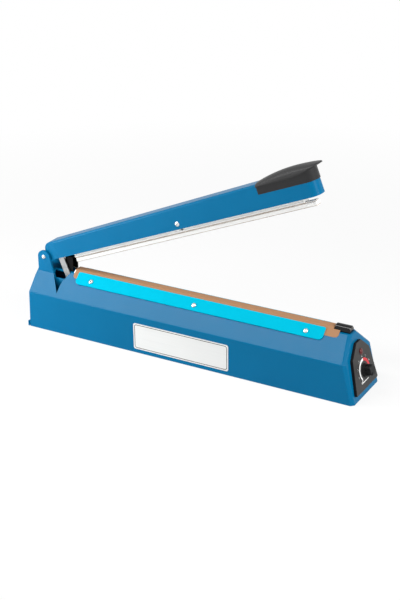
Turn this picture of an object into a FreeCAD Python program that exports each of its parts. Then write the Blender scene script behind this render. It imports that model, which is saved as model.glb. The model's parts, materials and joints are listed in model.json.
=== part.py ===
"""Hand impulse heat sealer with a lever arm, a floating press bar and a timer dial.

Millimetres. X runs along the jaw with +X at the control panel, -Y is the front, Z is up.
The origin is on the bench under the middle of the overall box, and the arm stands open.
"""

import FreeCAD, Part
import math
import os
from FreeCAD import Matrix, Placement, Rotation, Vector

# Housing
BASE_LENGTH = 500.0
BASE_WIDTH = 82.8
SHOULDER_Z = 54.0
RIDGE_Z = 82.0
RIDGE_WIDTH = 19.7
WALL = 2.5
PANEL_LEAN = 14.0
RIGHT_BEVEL = 4.2
LEFT_BEVEL = 3.0
LEFT_BEVEL_IN = 9.0
LEFT_BEVEL_RUN = 30.0
EDGE_RADIUS = 2.0

# Underside
SKIRT_Z = 0.6
FOOT_HEIGHT = 2.0
FOOT_DIAMETER = 16.0
FOOT_INSET = 24.0
TRAY_SHEET = 1.5
TRAY_LIP = 1.8
TRAY_LIP_HEIGHT = 6.0
BOSS_DIAMETER = 9.0
BOSS_HEIGHT = 30.0
BOSS_INSET = 46.0
TRAY_SCREW = 3.0
TRAY_SCREW_HEAD = 5.4
TRAY_SCREW_LENGTH = 10.0
SCREW_HEAD_RISE = 0.3

# Fits
RUN_CLEARANCE = 0.05
SIDE_CLEARANCE = 0.1
FREE_CLEARANCE = 0.4

# Arm
OPEN_ANGLE = 22.0
PIVOT_INSET = 12.7
PIVOT_RISE = 16.7
ARM_SHORT = 51.0
ARM_WIDTH = 26.0
ARM_NECK_WIDTH = 22.8
ARM_SHEET = 1.6
ARM_DROP = 7.1
ARM_TAIL_RISE = 17.6
ARM_NOSE_RISE = 27.2
ARM_TAIL_ROUND = 11.0
ARM_TAIL_START = 4.5
ARM_NECK_END = 14.0
ARM_NECK_BLEND = 10.0
ARM_NOSE_ROUND = 11.0
ARM_EDGE_RADIUS = 3.0

# Hinge
EAR_RADIUS = 9.7
EAR_SHEET = 3.0
EAR_RAKE = 14.9
EAR_FOOT_Z = 24.0
PIN_DIAMETER = 5.0
PIN_HEAD_DIAMETER = 6.2
PIN_HEAD_HEIGHT = 1.8
WASHER_SHEET = 0.5
WASHER_DIAMETER = 12.0
SLEEVE_DIAMETER = 8.4
LIFT_WIRE = 2.4
LIFT_COIL = 12.2
LIFT_TURNS = 2
LIFT_PITCH = 3.2
LIFT_ARM_ANGLE = 15.0

# Plated bracket inside the arm, with the two legs that work the switch
BRACKET_SHEET = 2.0
BRACKET_END = 44.0
LEG_START = 21.0
LEG_WIDTH = 9.0
LEG_DROP = 36.8

# Press bar
BAR_START = 47.0
BAR_SHORT = 26.0
BAR_WIDTH = 13.0
BAR_TOP_DROP = 1.0
BAR_FLOOR_DROP = 13.0
BAR_FLOOR = 1.4
BAR_SHEET = 1.5
BAR_GROOVE = 0.8
STRIP_OVERHANG = 15.0
STRIP_WIDTH = 11.0
STRIP_FACE_DROP = 21.0
STRIP_GROOVE = 1.0
STRIP_CROWN = 1.2
JAW_GAP = 0.35
BAR_PIN_DIAMETER = 3.0
BAR_PIN_HEAD = 7.0
BAR_PIN_DIMPLE = 2.4
BAR_PIN_DIMPLE_DEPTH = 1.4
BAR_SLOT_CLEARANCE = 0.3
BAR_LUG_LENGTH = 18.0
BAR_LUG_RISE = 6.0
PRESS_LEAF = 0.8
PRESS_LEAF_WIDTH = 8.0
PRESS_LEAF_SPAN = 124.0
PRESS_LEAF_TOE = 8.0
PRESS_LEAF_OFFSET = 101.0

# Handle
HANDLE_LENGTH = 81.0
HANDLE_SKIN = 1.8
HANDLE_SKIRT = 12.0
HANDLE_LIP = 9.0
HANDLE_TIP_RISE = 33.0
HANDLE_LIP_SHEET = 2.6
HANDLE_SWELL = 1.6
HANDLE_CROWN = 5.0

# Sealing ridge, set out from the pivot on the left and from the control end on the right
RAIL_OFFSET = 47.3
RAIL_INSET = 48.0
RAIL_HEIGHT = 3.6
RAIL_TONGUE = 8.0
RAIL_TONGUE_DEPTH = 8.0
TAPE_CLEARANCE = 0.142857
TAPE_SHEET = 0.4
ELEMENT_WIDTH = 2.4
ELEMENT_SHEET = 0.25
ELEMENT_EYE = 5.0
COVER_SHEET = 0.3
COVER_OFFSET = 48.3
COVER_INSET = 36.0
COVER_WIDTH = 31.0
COVER_CORNER = 5.0
CLAMP_OFFSET = 55.7
CLAMP_INSET = 55.0
CLAMP_RIDGE_DROP = 15.483
CLAMP_WIDTH = 18.4
CLAMP_SHEET = 1.2
CLAMP_LOW_RADIUS = 6.0
CLAMP_HIGH_RADIUS = 2.0
CLAMP_SCREW_INSET = 24.4
CLAMP_SCREW_UP = 7.6
CLAMP_SCREW = 3.0
CLAMP_SCREW_HEAD = 6.4
CLAMP_SCREW_LENGTH = 9.0

# Terminals at the two ends of the heating element
BARREL_INSET = 44.8
BARREL_LENGTH = 21.5
BARREL_DIAMETER = 13.5
BARREL_RISE = 1.6
BARREL_BORE = 9.0
BARREL_CAP = 3.0
BARREL_RIM = 1.0
HOOD_OFFSET = 31.3
HOOD_LENGTH = 12.0
HOOD_WIDTH = 13.6
HOOD_HEIGHT = 22.0
HOOD_WALL = 1.6
POST_DIAMETER = 3.0

# Leg notches in the housing beside the hinge
NOTCH_INNER = 7.4
NOTCH_REACH = 36.0
NOTCH_END_OFFSET = 44.8
NOTCH_TOE_OFFSET = 34.3
NOTCH_KNEE = 10.0
NOTCH_BOW = 1.6
NOTCH_DEPTH = 2.0

# Front label
LABEL_START = -74.0
LABEL_LENGTH = 145.7
LABEL_LOW_Z = 6.4
LABEL_HEIGHT = 38.2
LABEL_SHEET = 0.4
LABEL_RADIUS = 3.0

# Control panel
PANEL_SHEET = 4.0
PANEL_LOW = 9.8
PANEL_SHOULDER = 55.6
PANEL_TOP = 72.8
PANEL_LOW_WIDTH = 67.0
PANEL_SHOULDER_WIDTH = 52.0
PANEL_TOP_WIDTH = 14.0
PANEL_RADIUS = 2.0
DIAL_UP = 33.0
LAMP_UP = 58.6
LAMP_DIAMETER = 6.5
LAMP_RISE = 2.6
LAMP_COLLAR = 0.9
KNOB_DIAMETER = 17.6
KNOB_GRIP_DIAMETER = 16.0
KNOB_SKIRT = 3.2
KNOB_HEIGHT = 11.5
KNOB_TAPER = 0.7
KNOB_CAP = 2.0
KNOB_REST = 225.0
KNOB_FLUTES = 8
KNOB_FLUTE_DIAMETER = 2.0
KNOB_EDGE = 1.0
KNOB_POINTER_WIDTH = 1.6
KNOB_POINTER_DEPTH = 1.2
POT_DIAMETER = 16.5
POT_DEPTH = 9.5
POT_BUSH = 9.0
POT_SHAFT = 6.0
SHAFT_FLOOR = 1.0
POT_NUT = 11.0
POT_NUT_HEIGHT = 2.0

# Switch under the front leg
SWITCH_LENGTH = 27.8
SWITCH_HEIGHT = 15.9
SWITCH_WIDTH = 10.3
SWITCH_DROP = 42.8
SWITCH_OFFSET = 53.9
SWITCH_BUTTON = 3.0
SWITCH_BUTTON_RISE = 3.0
SWITCH_PIVOT_UP = 1.9
SWITCH_PIVOT_IN = 2.0
LEVER_LENGTH = 26.8
LEVER_WIDTH = 4.2
LEVER_SHEET = 0.8
LEVER_PIN = 1.2
LEVER_REST = 20.0
LEVER_TURN = 15.0
SWITCH_STAND_SHEET = 2.0
SWITCH_STAND_LENGTH = 18.0
SWITCH_STAND_FOOT = 16.0

# Transformer and timer board
CORE_X = 70.0
CORE_WIDTH = 78.0
CORE_HEIGHT = 65.0
CORE_STACK = 36.0
CORE_LIMB = 13.0
COIL_GROWTH = 12.0
STRAP_SHEET = 1.2
STRAP_WIDTH = 20.0
STRAP_FOOT = 14.0
BOARD_INSET = 72.0
BOARD_LENGTH = 62.0
BOARD_WIDTH = 52.0
BOARD_SHEET = 1.6
BOARD_UP = 6.0
STANDOFF_DIAMETER = 6.0
RELAY = (19.0, 15.5, 15.0)
CAPACITOR_DIAMETER = 10.0
CAPACITOR_HEIGHT = 17.0

# Cable bush in the back wall
BUSH_INSET = 70.0
BUSH_Z = 22.0
BUSH_BORE = 7.5
BUSH_NECK = 11.0
BUSH_FLANGE = 15.0
BUSH_FLANGE_SHEET = 3.0

# Worked out from the sizes above
HALF_LENGTH = BASE_LENGTH / 2
HALF_WIDTH = BASE_WIDTH / 2
TRAY_TOP_Z = FOOT_HEIGHT + TRAY_SHEET
LEAN = math.tan(math.radians(PANEL_LEAN))
SLOPE = math.degrees(math.atan2(RIDGE_Z - SHOULDER_Z, HALF_WIDTH - RIDGE_WIDTH / 2))
PIVOT_Z = RIDGE_Z + PIVOT_RISE
PIVOT = Vector(PIVOT_INSET - HALF_LENGTH, 0, PIVOT_Z)
ARM_REACH = BASE_LENGTH - ARM_SHORT
BAR_LENGTH = ARM_REACH - BAR_START - BAR_SHORT
BAR_PIN_U = BAR_START + BAR_LENGTH / 2
HANDLE_START = ARM_REACH - HANDLE_LENGTH
RAIL_START = PIVOT.x + RAIL_OFFSET
RAIL_LENGTH = HALF_LENGTH - RAIL_INSET - RAIL_START
COVER_START = PIVOT.x + COVER_OFFSET
COVER_LENGTH = HALF_LENGTH - COVER_INSET - COVER_START
CLAMP_LOW = math.hypot(RIDGE_Z - SHOULDER_Z, HALF_WIDTH - RIDGE_WIDTH / 2) - CLAMP_RIDGE_DROP
CLAMP_START = PIVOT.x + CLAMP_OFFSET
CLAMP_LENGTH = HALF_LENGTH - CLAMP_INSET - CLAMP_START
CLAMP_SCREW_X = [CLAMP_START + CLAMP_SCREW_INSET, CLAMP_START + CLAMP_LENGTH / 2,
                 CLAMP_START + CLAMP_LENGTH - CLAMP_SCREW_INSET]
BARREL_START = HALF_LENGTH - BARREL_INSET
BARREL_Z = RIDGE_Z + BARREL_RISE
HOOD_START = PIVOT.x + HOOD_OFFSET
HOOD_TOP_Z = RIDGE_Z + HOOD_HEIGHT
NOTCH_END = PIVOT.x + NOTCH_END_OFFSET
NOTCH_TOE = PIVOT.x + NOTCH_TOE_OFFSET
NOTCH_FLOOR_Z = SHOULDER_Z - NOTCH_DEPTH
SWITCH_TOP_Z = PIVOT_Z - SWITCH_DROP
SWITCH_END = PIVOT.x + SWITCH_OFFSET
BOARD_X = HALF_LENGTH - BOARD_INSET
BUSH_X = HALF_LENGTH - BUSH_INSET
EAR_INNER = ARM_NECK_WIDTH / 2 + WASHER_SHEET + SIDE_CLEARANCE
EAR_OUTER = EAR_INNER + EAR_SHEET
RAIL_TOP_Z = RIDGE_Z + RAIL_HEIGHT
ELEMENT_Z = RAIL_TOP_Z + TAPE_SHEET
COVER_Z = ELEMENT_Z + ELEMENT_SHEET
TAPE_WIDTH = 2 * (HALF_WIDTH - (ELEMENT_Z - SHOULDER_Z) / math.tan(math.radians(SLOPE)) - TAPE_CLEARANCE)
BAR_TRAVEL = STRIP_FACE_DROP - (PIVOT_Z - (COVER_Z + COVER_SHEET)) + JAW_GAP
FAR = 2 * BASE_LENGTH


def box(x0, x1, y0, y1, z0, z1):
    return Part.makeBox(x1 - x0, y1 - y0, z1 - z0, Vector(x0, y0, z0))


def rod(start, direction, diameter, length):
    return Part.makeCylinder(diameter / 2, length, start, direction)


def tube(start, direction, outer, inner, length):
    return rod(start, direction, outer, length).cut(rod(start, direction, inner, length))


def prism(points, sweep):
    """Solid swept from a closed outline of straight edges."""
    return Part.Face(Part.makePolygon(list(points) + [points[0]])).extrude(sweep)


def hexagon(start, across, height):
    """Upright six-sided bar of a width across its flats."""
    corner = across / math.sqrt(3)
    turns = [math.radians(60 * i) for i in range(6)]
    ring = [start + Vector(corner * math.cos(t), corner * math.sin(t), 0) for t in turns]
    return prism(ring, Vector(0, 0, height))


def mirror(shape):
    """The same piece on the other side of the machine's long middle plane."""
    return shape.mirror(Vector(0, 0, 0), Vector(0, 1, 0))


def both_sides(shape):
    return Part.makeCompound([shape, mirror(shape)])


def joined(shapes):
    """One solid from pieces that meet, with seams removed."""
    shapes = list(shapes)
    return shapes[0].multiFuse(shapes[1:]).removeSplitter()


def rounded_rectangle(x0, x1, y0, y1, low, high):
    """Face in XY with one corner radius at the low edge and another at the high edge."""
    def corner(x, y, sx, sy, r):
        k = r * (1 - math.sqrt(0.5))
        ends = [Vector(x, y + sy * r, 0), Vector(x + sx * k, y + sy * k, 0), Vector(x + sx * r, y, 0)]
        return ends if sx * sy > 0 else ends[::-1]

    arcs = [corner(x0, y0, 1, 1, low), corner(x1, y0, -1, 1, low),
            corner(x1, y1, -1, -1, high), corner(x0, y1, 1, -1, high)]
    edges = []
    for arc, following in zip(arcs, arcs[1:] + arcs[:1]):
        if arc[0] != arc[2]:
            edges.append(Part.Arc(*arc).toShape())
        edges.append(Part.makeLine(arc[2], following[0]))
    return Part.Face(Part.Wire(edges))


def cut_beyond(solid, point, normal):
    """Take away everything on the outer side of a plane."""
    block = Part.makeBox(FAR, FAR, FAR, Vector(-FAR / 2, -FAR / 2, 0))
    block.Placement = Placement(point, Rotation(Vector(0, 0, 1), normal))
    return solid.cut(block)


def plane_through(a, b, c, outside):
    """Point and outward unit normal of the plane through three points."""
    normal = (b - a).cross(c - a).normalize()
    return a, normal if normal.dot(outside) > 0 else normal * -1


def moved_by(shape, frame):
    moved = shape.copy()
    moved.Placement = frame.multiply(moved.Placement)
    return moved


def on_slope(shape):
    """From flat (X along the jaw, Y up the slope from the shoulder) onto the front slope."""
    frame = Placement(Vector(0, -HALF_WIDTH, SHOULDER_Z), Rotation(Vector(1, 0, 0), SLOPE))
    return moved_by(shape, frame)


def on_panel(shape):
    """From flat (X to the back, Y up the panel from the bench, Z outward) onto the control end."""
    lean, up = math.sin(math.radians(PANEL_LEAN)), math.cos(math.radians(PANEL_LEAN))
    frame = Matrix(0, -lean, up, HALF_LENGTH, 1, 0, 0, 0, 0, up, lean, 0, 0, 0, 0, 1)
    return moved_by(shape, Placement(frame))


def on_arm(shape):
    """From the arm's own frame (X from the pivot to the nose, Z up) to where the open arm stands."""
    return moved_by(shape, Placement(PIVOT, Rotation(Vector(0, 1, 0), -OPEN_ANGLE)))


def arm_top(u):
    """Height of the arm's top over the pivot line at a distance from the pivot."""
    return ARM_TAIL_RISE + (ARM_NOSE_RISE - ARM_TAIL_RISE) * u / ARM_REACH


def biarc(p, tangent_p, q, tangent_q):
    """Two arcs that leave p and reach q along the given directions."""
    span, both, turn = q - p, tangent_p + tangent_q, 1 - tangent_p.dot(tangent_q)
    along = span.dot(both)
    if turn < 1e-9:
        reach = span.dot(span) / (4 * span.dot(tangent_q))
    else:
        reach = (math.sqrt(along ** 2 + 2 * turn * span.dot(span)) - along) / (2 * turn)
    middle = (p + q + (tangent_p - tangent_q) * reach) * 0.5
    return [arc_from(p, tangent_p, middle), arc_from(q, tangent_q * -1, middle)]


def arc_from(start, tangent, end):
    chord = end - start
    inward = chord - tangent * chord.dot(tangent)
    if inward.Length < 1e-7:
        return Part.makeLine(start, end)
    inward.normalize()
    centre = start + inward * (chord.dot(chord) / (2 * chord.dot(inward)))
    half_way = ((start - centre) + (end - centre)).normalize()
    return Part.Arc(start, centre + half_way * (start - centre).Length, end).toShape()


def wire_spring(name, points, tangents, wire, lead_in=None, lead_out=None):
    """Round wire along points joined by biarcs, with straight ends where they are given."""
    edges = [Part.makeLine(lead_in, points[0])] if lead_in else []
    for i in range(len(points) - 1):
        edges += biarc(points[i], tangents[i], points[i + 1], tangents[i + 1])
    if lead_out:
        edges.append(Part.makeLine(points[-1], lead_out))
    path = Part.Wire(Part.__sortEdges__(edges))
    begin = lead_in or points[0]
    heading = (points[0] - lead_in).normalize() if lead_in else tangents[0]
    sweep = Part.BRepOffsetAPI.MakePipeShell(path)
    sweep.add(Part.Wire(Part.makeCircle(wire / 2, begin, heading)))
    sweep.build()
    sweep.makeSolid()
    print(f"{name}: least gap between turns {least_gap(path, wire):.2f} mm")
    return sweep.shape()


def least_gap(path, wire):
    """Smallest clear distance from the wire to itself, measured on points along its middle."""
    points = path.discretize(Distance=wire / 2)
    away = 6
    return min((p - q).Length for i, p in enumerate(points) for q in points[i + away:]) - wire


def slope_z(y):
    """Height of the slope's face at a distance from the middle plane."""
    return SHOULDER_Z + (HALF_WIDTH - abs(y)) * math.tan(math.radians(SLOPE))


def end_x(z):
    """Where the control end's leaning face stands at a height."""
    return HALF_LENGTH - LEAN * z


def ear_edge_x(z):
    """Where the raked edge of a hinge ear stands at a height."""
    rake = math.radians(EAR_RAKE)
    touch_x = PIVOT.x + EAR_RADIUS * math.cos(rake)
    touch_z = PIVOT.z + EAR_RADIUS * math.sin(rake)
    return touch_x + (touch_z - z) * math.tan(rake)


def housing_planes():
    """Faces of the housing as points and outward normals: walls, slopes, ends and corner bevels."""
    slope = Vector(0, SHOULDER_Z - RIDGE_Z, HALF_WIDTH - RIDGE_WIDTH / 2).normalize()
    end = Vector(1, 0, LEAN).normalize()
    right, left = end_x(SHOULDER_Z), -HALF_LENGTH
    right_foot = Vector(end_x(SKIRT_Z) - RIGHT_BEVEL, -HALF_WIDTH, SKIRT_Z)
    right_side = Vector(right - RIGHT_BEVEL, -HALF_WIDTH, SHOULDER_Z)
    right_end = Vector(right, RIGHT_BEVEL - HALF_WIDTH, SHOULDER_Z)
    left_foot = Vector(left, -HALF_WIDTH, -LEFT_BEVEL_RUN)
    left_side = Vector(left + LEFT_BEVEL, -HALF_WIDTH, SHOULDER_Z)
    left_end = Vector(left, LEFT_BEVEL_IN - HALF_WIDTH, SHOULDER_Z)
    left_crown = Vector(left, -EAR_OUTER, slope_z(EAR_OUTER))
    front = [
        (Vector(0, -HALF_WIDTH, 0), Vector(0, -1, 0)),
        (Vector(0, -HALF_WIDTH, SHOULDER_Z), slope),
        plane_through(right_foot, right_side, right_end, Vector(1, -1, 0)),
        plane_through(right_side, right_end, right_side + slope.cross(end), Vector(1, -1, 0)),
        plane_through(left_foot, left_side, left_end, Vector(-1, -1, 0)),
        plane_through(left_side, left_end, left_crown, Vector(-1, -1, 0)),
    ]
    back = [(Vector(p.x, -p.y, p.z), Vector(n.x, -n.y, n.z)) for p, n in front]
    middle = [
        (Vector(0, 0, RIDGE_Z), Vector(0, 0, 1)),
        (Vector(left, 0, 0), Vector(-1, 0, 0)),
        (Vector(HALF_LENGTH, 0, 0), end),
    ]
    return front + back + middle


def housing_form(inset, floor_z):
    solid = box(-FAR / 4, FAR / 4, -FAR / 4, FAR / 4, floor_z, FAR / 4)
    for point, normal in housing_planes():
        solid = cut_beyond(solid, point - normal * inset, normal)
    return solid


def softened(solid, radius, floor_z):
    """Round every edge that does not lie on the floor."""
    edges = [e for e in solid.Edges if e.BoundBox.ZMax > floor_z + 0.01]
    return solid.makeFillet(radius, edges)


def boss_spots():
    x, y = HALF_LENGTH - BOSS_INSET, HALF_WIDTH - WALL - BOSS_DIAMETER / 2 + 1
    return [Vector(sx * x, sy * y, 0) for sx in (-1, 1) for sy in (-1, 1)]


def barrel_rod(start, end, diameter):
    return rod(Vector(start, 0, BARREL_Z), Vector(1, 0, 0), diameter, end - start)


def clamp_holes():
    """Screw holes through both slopes and whatever lies on them."""
    spots = [Vector(x, CLAMP_LOW + CLAMP_SCREW_UP, -2 * WALL) for x in CLAMP_SCREW_X]
    front = [on_slope(rod(p, Vector(0, 0, 1), CLAMP_SCREW + 2 * SIDE_CLEARANCE, 4 * WALL)) for p in spots]
    return front + [mirror(hole) for hole in front]


def notch_cut():
    """The opening in the front slope that the switch leg swings through."""
    crown_x = ear_edge_x(slope_z(EAR_OUTER))
    heel = Vector(crown_x, -NOTCH_INNER, NOTCH_FLOOR_Z)
    crown = Vector(crown_x, -EAR_OUTER, NOTCH_FLOOR_Z)
    toe = Vector(NOTCH_TOE, -NOTCH_REACH, NOTCH_FLOOR_Z)
    knee = toe + Vector(0, NOTCH_KNEE, 0)
    end = Vector(NOTCH_END, -NOTCH_INNER, NOTCH_FLOOR_Z)
    bow = (knee + end) * 0.5 - Vector(NOTCH_BOW, 0, 0)
    edges = [Part.makeLine(heel, crown), Part.makeLine(crown, toe), Part.makeLine(toe, knee),
             Part.Arc(knee, bow, end).toShape(), Part.makeLine(end, heel)]
    return Part.Face(Part.Wire(edges)).extrude(Vector(0, 0, RIDGE_Z))


def housing():
    outer = softened(housing_form(0, SKIRT_Z), EDGE_RADIUS, SKIRT_Z)
    shell = outer.cut(housing_form(WALL, SKIRT_Z - 1))
    up = Vector(0, 0, 1)
    saddle_end = BARREL_START + BARREL_LENGTH + SIDE_CLEARANCE
    saddle = BARREL_DIAMETER + 2 * SIDE_CLEARANCE
    trough = barrel_rod(BARREL_START - WALL, saddle_end + WALL, saddle + 2 * WALL).common(outer)
    bosses = [rod(p + up * TRAY_TOP_Z, up, BOSS_DIAMETER, BOSS_HEIGHT) for p in boss_spots()]
    shell = joined([shell, trough] + bosses)

    ear_slot = box(PIVOT.x - EAR_RADIUS - SIDE_CLEARANCE, ear_edge_x(slope_z(EAR_OUTER) - 2 * WALL),
                   -EAR_OUTER - SIDE_CLEARANCE, -EAR_INNER + SIDE_CLEARANCE, SHOULDER_Z, RIDGE_Z)
    cuts = [barrel_rod(BARREL_START - SIDE_CLEARANCE, saddle_end, saddle),
            box(RAIL_START - SIDE_CLEARANCE, RAIL_START + RAIL_LENGTH + SIDE_CLEARANCE,
                -RAIL_TONGUE / 2 - SIDE_CLEARANCE, RAIL_TONGUE / 2 + SIDE_CLEARANCE,
                RIDGE_Z - RAIL_TONGUE_DEPTH, RIDGE_Z + 1),
            on_panel(rod(Vector(0, DIAL_UP, -2 * WALL), up, POT_BUSH + 2 * SIDE_CLEARANCE, 3 * WALL)),
            on_panel(rod(Vector(0, LAMP_UP, -2 * WALL), up, LAMP_DIAMETER + 2 * SIDE_CLEARANCE, 3 * WALL)),
            rod(Vector(BUSH_X, HALF_WIDTH - 2 * WALL, BUSH_Z), Vector(0, 1, 0), BUSH_NECK, 3 * WALL)]
    inner = HALF_WIDTH - WALL
    cuts.append(box(-HALF_LENGTH - WALL, 2 * WALL - HALF_LENGTH, -inner, inner, 0, TRAY_TOP_Z))
    cuts += [rod(p + up * TRAY_TOP_Z, up, TRAY_SCREW, BOSS_HEIGHT - 4) for p in boss_spots()]
    for cut in (ear_slot, notch_cut()):
        cuts += [cut, mirror(cut)]
    return shell.cut(cuts + clamp_holes())


def bottom_tray():
    """Steel floor between the walls, passing under the left end to a lip outside it."""
    half, left = HALF_WIDTH - WALL - SIDE_CLEARANCE, -HALF_LENGTH
    level = box(left, HALF_LENGTH, -half, half, FOOT_HEIGHT, TRAY_TOP_Z)
    plate = housing_form(WALL + SIDE_CLEARANCE, FOOT_HEIGHT).common(level)
    tongue = box(left, left + 2 * WALL, -half, half, FOOT_HEIGHT, TRAY_TOP_Z)
    lip = box(left - TRAY_LIP, left, -HALF_WIDTH, HALF_WIDTH, SKIRT_Z, FOOT_HEIGHT + TRAY_LIP_HEIGHT)
    holes = [rod(p, Vector(0, 0, 1), TRAY_SCREW + 2 * SIDE_CLEARANCE, 2 * TRAY_TOP_Z) for p in boss_spots()]
    return joined([plate, tongue, lip]).cut(holes)


def rubber_feet():
    spots = [Vector(sx * (HALF_LENGTH - FOOT_INSET), sy * (HALF_WIDTH - FOOT_INSET / 2), 0)
             for sx in (-1, 1) for sy in (-1, 1)]
    return Part.makeCompound([
        Part.makeCone(FOOT_DIAMETER / 2 - 1, FOOT_DIAMETER / 2, FOOT_HEIGHT, p) for p in spots])


def domed(diameter, side, rise):
    """Disc standing on Z = 0 whose straight side ends in a shallow dome."""
    half, bulge = diameter / 2, rise - side
    crown = (half ** 2 + bulge ** 2) / (2 * bulge)
    ball = Part.makeSphere(crown, Vector(0, 0, rise - crown))
    return rod(Vector(0, 0, 0), Vector(0, 0, 1), diameter, rise).common(ball)


def headed_screw(head, shank, length):
    """Screw whose head stands on Z = 0 with its shank below."""
    up, shaft_end = Vector(0, 0, 1), Vector(0, 0, -length)
    cap = rod(Vector(0, 0, 0), up, head, SCREW_HEAD_RISE * head)
    return joined([rod(shaft_end, up, shank, length), cap])


def tray_screws():
    screw = headed_screw(TRAY_SCREW_HEAD, TRAY_SCREW, TRAY_SCREW_LENGTH)
    head_down = Rotation(Vector(1, 0, 0), 180)
    seat = Vector(0, 0, FOOT_HEIGHT)
    return Part.makeCompound([moved_by(screw, Placement(p + seat, head_down)) for p in boss_spots()])


def hinge_bracket():
    """Bent steel bracket on the tray whose two ears stand up through the housing."""
    rake = math.radians(EAR_RAKE)
    x0 = PIVOT.x - EAR_RADIUS
    touch = Vector(PIVOT.x + EAR_RADIUS * math.cos(rake), 0, PIVOT.z + EAR_RADIUS * math.sin(rake))
    foot_x = ear_edge_x(EAR_FOOT_Z)
    low, side = Vector(x0, 0, TRAY_TOP_Z), Vector(x0, 0, PIVOT.z)
    knee, heel = Vector(foot_x, 0, EAR_FOOT_Z), Vector(foot_x, 0, TRAY_TOP_Z)
    edges = [Part.makeLine(low, side), Part.Arc(side, PIVOT + Vector(0, 0, EAR_RADIUS), touch).toShape(),
             Part.makeLine(touch, knee), Part.makeLine(knee, heel), Part.makeLine(heel, low)]
    ear = Part.Face(Part.Wire(edges)).extrude(Vector(0, EAR_SHEET, 0))
    ear.translate(Vector(0, EAR_INNER, 0))
    web = box(x0, foot_x, -EAR_INNER, EAR_INNER, TRAY_TOP_Z, TRAY_TOP_Z + EAR_SHEET)
    bore = rod(PIVOT - Vector(0, HALF_WIDTH, 0), Vector(0, 1, 0), PIN_DIAMETER, BASE_WIDTH)
    return joined([ear, mirror(ear), web]).cut(bore)


def riveted_pin(half_length, shank, head, head_height):
    """Pin along Y with a domed head on each end."""
    pin = rod(Vector(0, -half_length, 0), Vector(0, 1, 0), shank, 2 * half_length)
    crown = head * 0.62
    ball = Part.makeSphere(crown, Vector(0, half_length + head_height - crown, 0))
    dome = rod(Vector(0, half_length, 0), Vector(0, 1, 0), head, head_height).common(ball)
    return joined([pin, dome, mirror(dome)])


def hinge_pin():
    pin = riveted_pin(EAR_OUTER, PIN_DIAMETER, PIN_HEAD_DIAMETER, PIN_HEAD_HEIGHT)
    pin.translate(PIVOT)
    return pin


def hinge_sleeve():
    half = bracket_inner() - 2 * SIDE_CLEARANCE
    return tube(PIVOT - Vector(0, half, 0), Vector(0, 1, 0), SLEEVE_DIAMETER, PIN_DIAMETER, 2 * half)


def hinge_washers():
    washer = tube(PIVOT + Vector(0, EAR_INNER - WASHER_SHEET, 0), Vector(0, 1, 0),
                  WASHER_DIAMETER, PIN_DIAMETER, WASHER_SHEET)
    return both_sides(washer)


def bracket_inner():
    """Half the clear width between the cheeks of the plated bracket."""
    return ARM_NECK_WIDTH / 2 - ARM_SHEET - BRACKET_SHEET


def lift_start():
    """Angle round the coil where the leg under the open arm leaves it."""
    return 90.0 + LIFT_ARM_ANGLE + OPEN_ANGLE


def lift_width():
    """Distance along the pin between the two legs of the hinge spring."""
    return LIFT_PITCH * (180.0 + 360.0 * LIFT_TURNS - lift_start()) / 360.0


def lift_slot():
    """Slot in the arm's tail, open below, that the leg of the hinge spring passes through."""
    tilt = math.radians(LIFT_ARM_ANGLE)
    far = ARM_TAIL_START + 2 * ARM_SHEET
    top = (LIFT_COIL + LIFT_WIRE) / (2 * math.cos(tilt)) + far * math.tan(tilt) + FREE_CLEARANCE
    half = LIFT_WIRE / 2 + FREE_CLEARANCE
    y = lift_width() / 2
    return box(ARM_TAIL_START - ARM_SHEET, far, y - half, y + half, 0, top)


def hinge_spring():
    """Torsion spring on the sleeve: one leg bears up under the arm, the other stands on the ridge."""
    radius, step = LIFT_COIL / 2, 90.0
    start, width = lift_start(), lift_width()
    total = 180.0 + 360.0 * LIFT_TURNS - start
    count = math.ceil(total / step)
    points, tangents = [], []
    for i in range(count + 1):
        turn = math.radians(start + total * i / count)
        out, across = Vector(math.cos(turn), 0, math.sin(turn)), Vector(0, width * (0.5 - i / count), 0)
        points.append(PIVOT + out * radius + across)
        climb = 0 if i in (0, count) else -LIFT_PITCH / (2 * math.pi)
        tangents.append(Vector(-radius * math.sin(turn), climb, radius * math.cos(turn)).normalize())
    tilt = math.radians(LIFT_ARM_ANGLE)
    roof = ARM_TAIL_RISE - ARM_SHEET - BRACKET_SHEET - 2 * SIDE_CLEARANCE
    taper = (ARM_NOSE_RISE - ARM_TAIL_RISE) / ARM_REACH
    reach = (roof - (radius + LIFT_WIRE / 2) / math.cos(tilt)) / (math.tan(tilt) - taper)
    leg = (reach + radius * math.sin(tilt)) / math.cos(tilt)
    stand = Vector(points[-1].x, points[-1].y, RIDGE_Z + 2 * SIDE_CLEARANCE)
    return wire_spring("hinge spring", points, tangents, LIFT_WIRE, points[0] - tangents[0] * leg, stand)


def element_rail():
    top_half = RIDGE_WIDTH / 2 - RAIL_HEIGHT / math.tan(math.radians(SLOPE))
    low_half, tongue = RIDGE_WIDTH / 2, RAIL_TONGUE / 2
    keel_z = RIDGE_Z - RAIL_TONGUE_DEPTH
    right = [(tongue, keel_z), (tongue, RIDGE_Z), (low_half, RIDGE_Z), (top_half, RAIL_TOP_Z)]
    outline = right + [(-y, z) for y, z in reversed(right)]
    return prism([Vector(RAIL_START, y, z) for y, z in outline], Vector(RAIL_LENGTH, 0, 0))


def rail_tape():
    return box(RAIL_START, RAIL_START + RAIL_LENGTH, -TAPE_WIDTH / 2, TAPE_WIDTH / 2, RAIL_TOP_Z, ELEMENT_Z)


def post_spots():
    return HOOD_START + HOOD_LENGTH / 2, BARREL_START + ELEMENT_EYE


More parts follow.
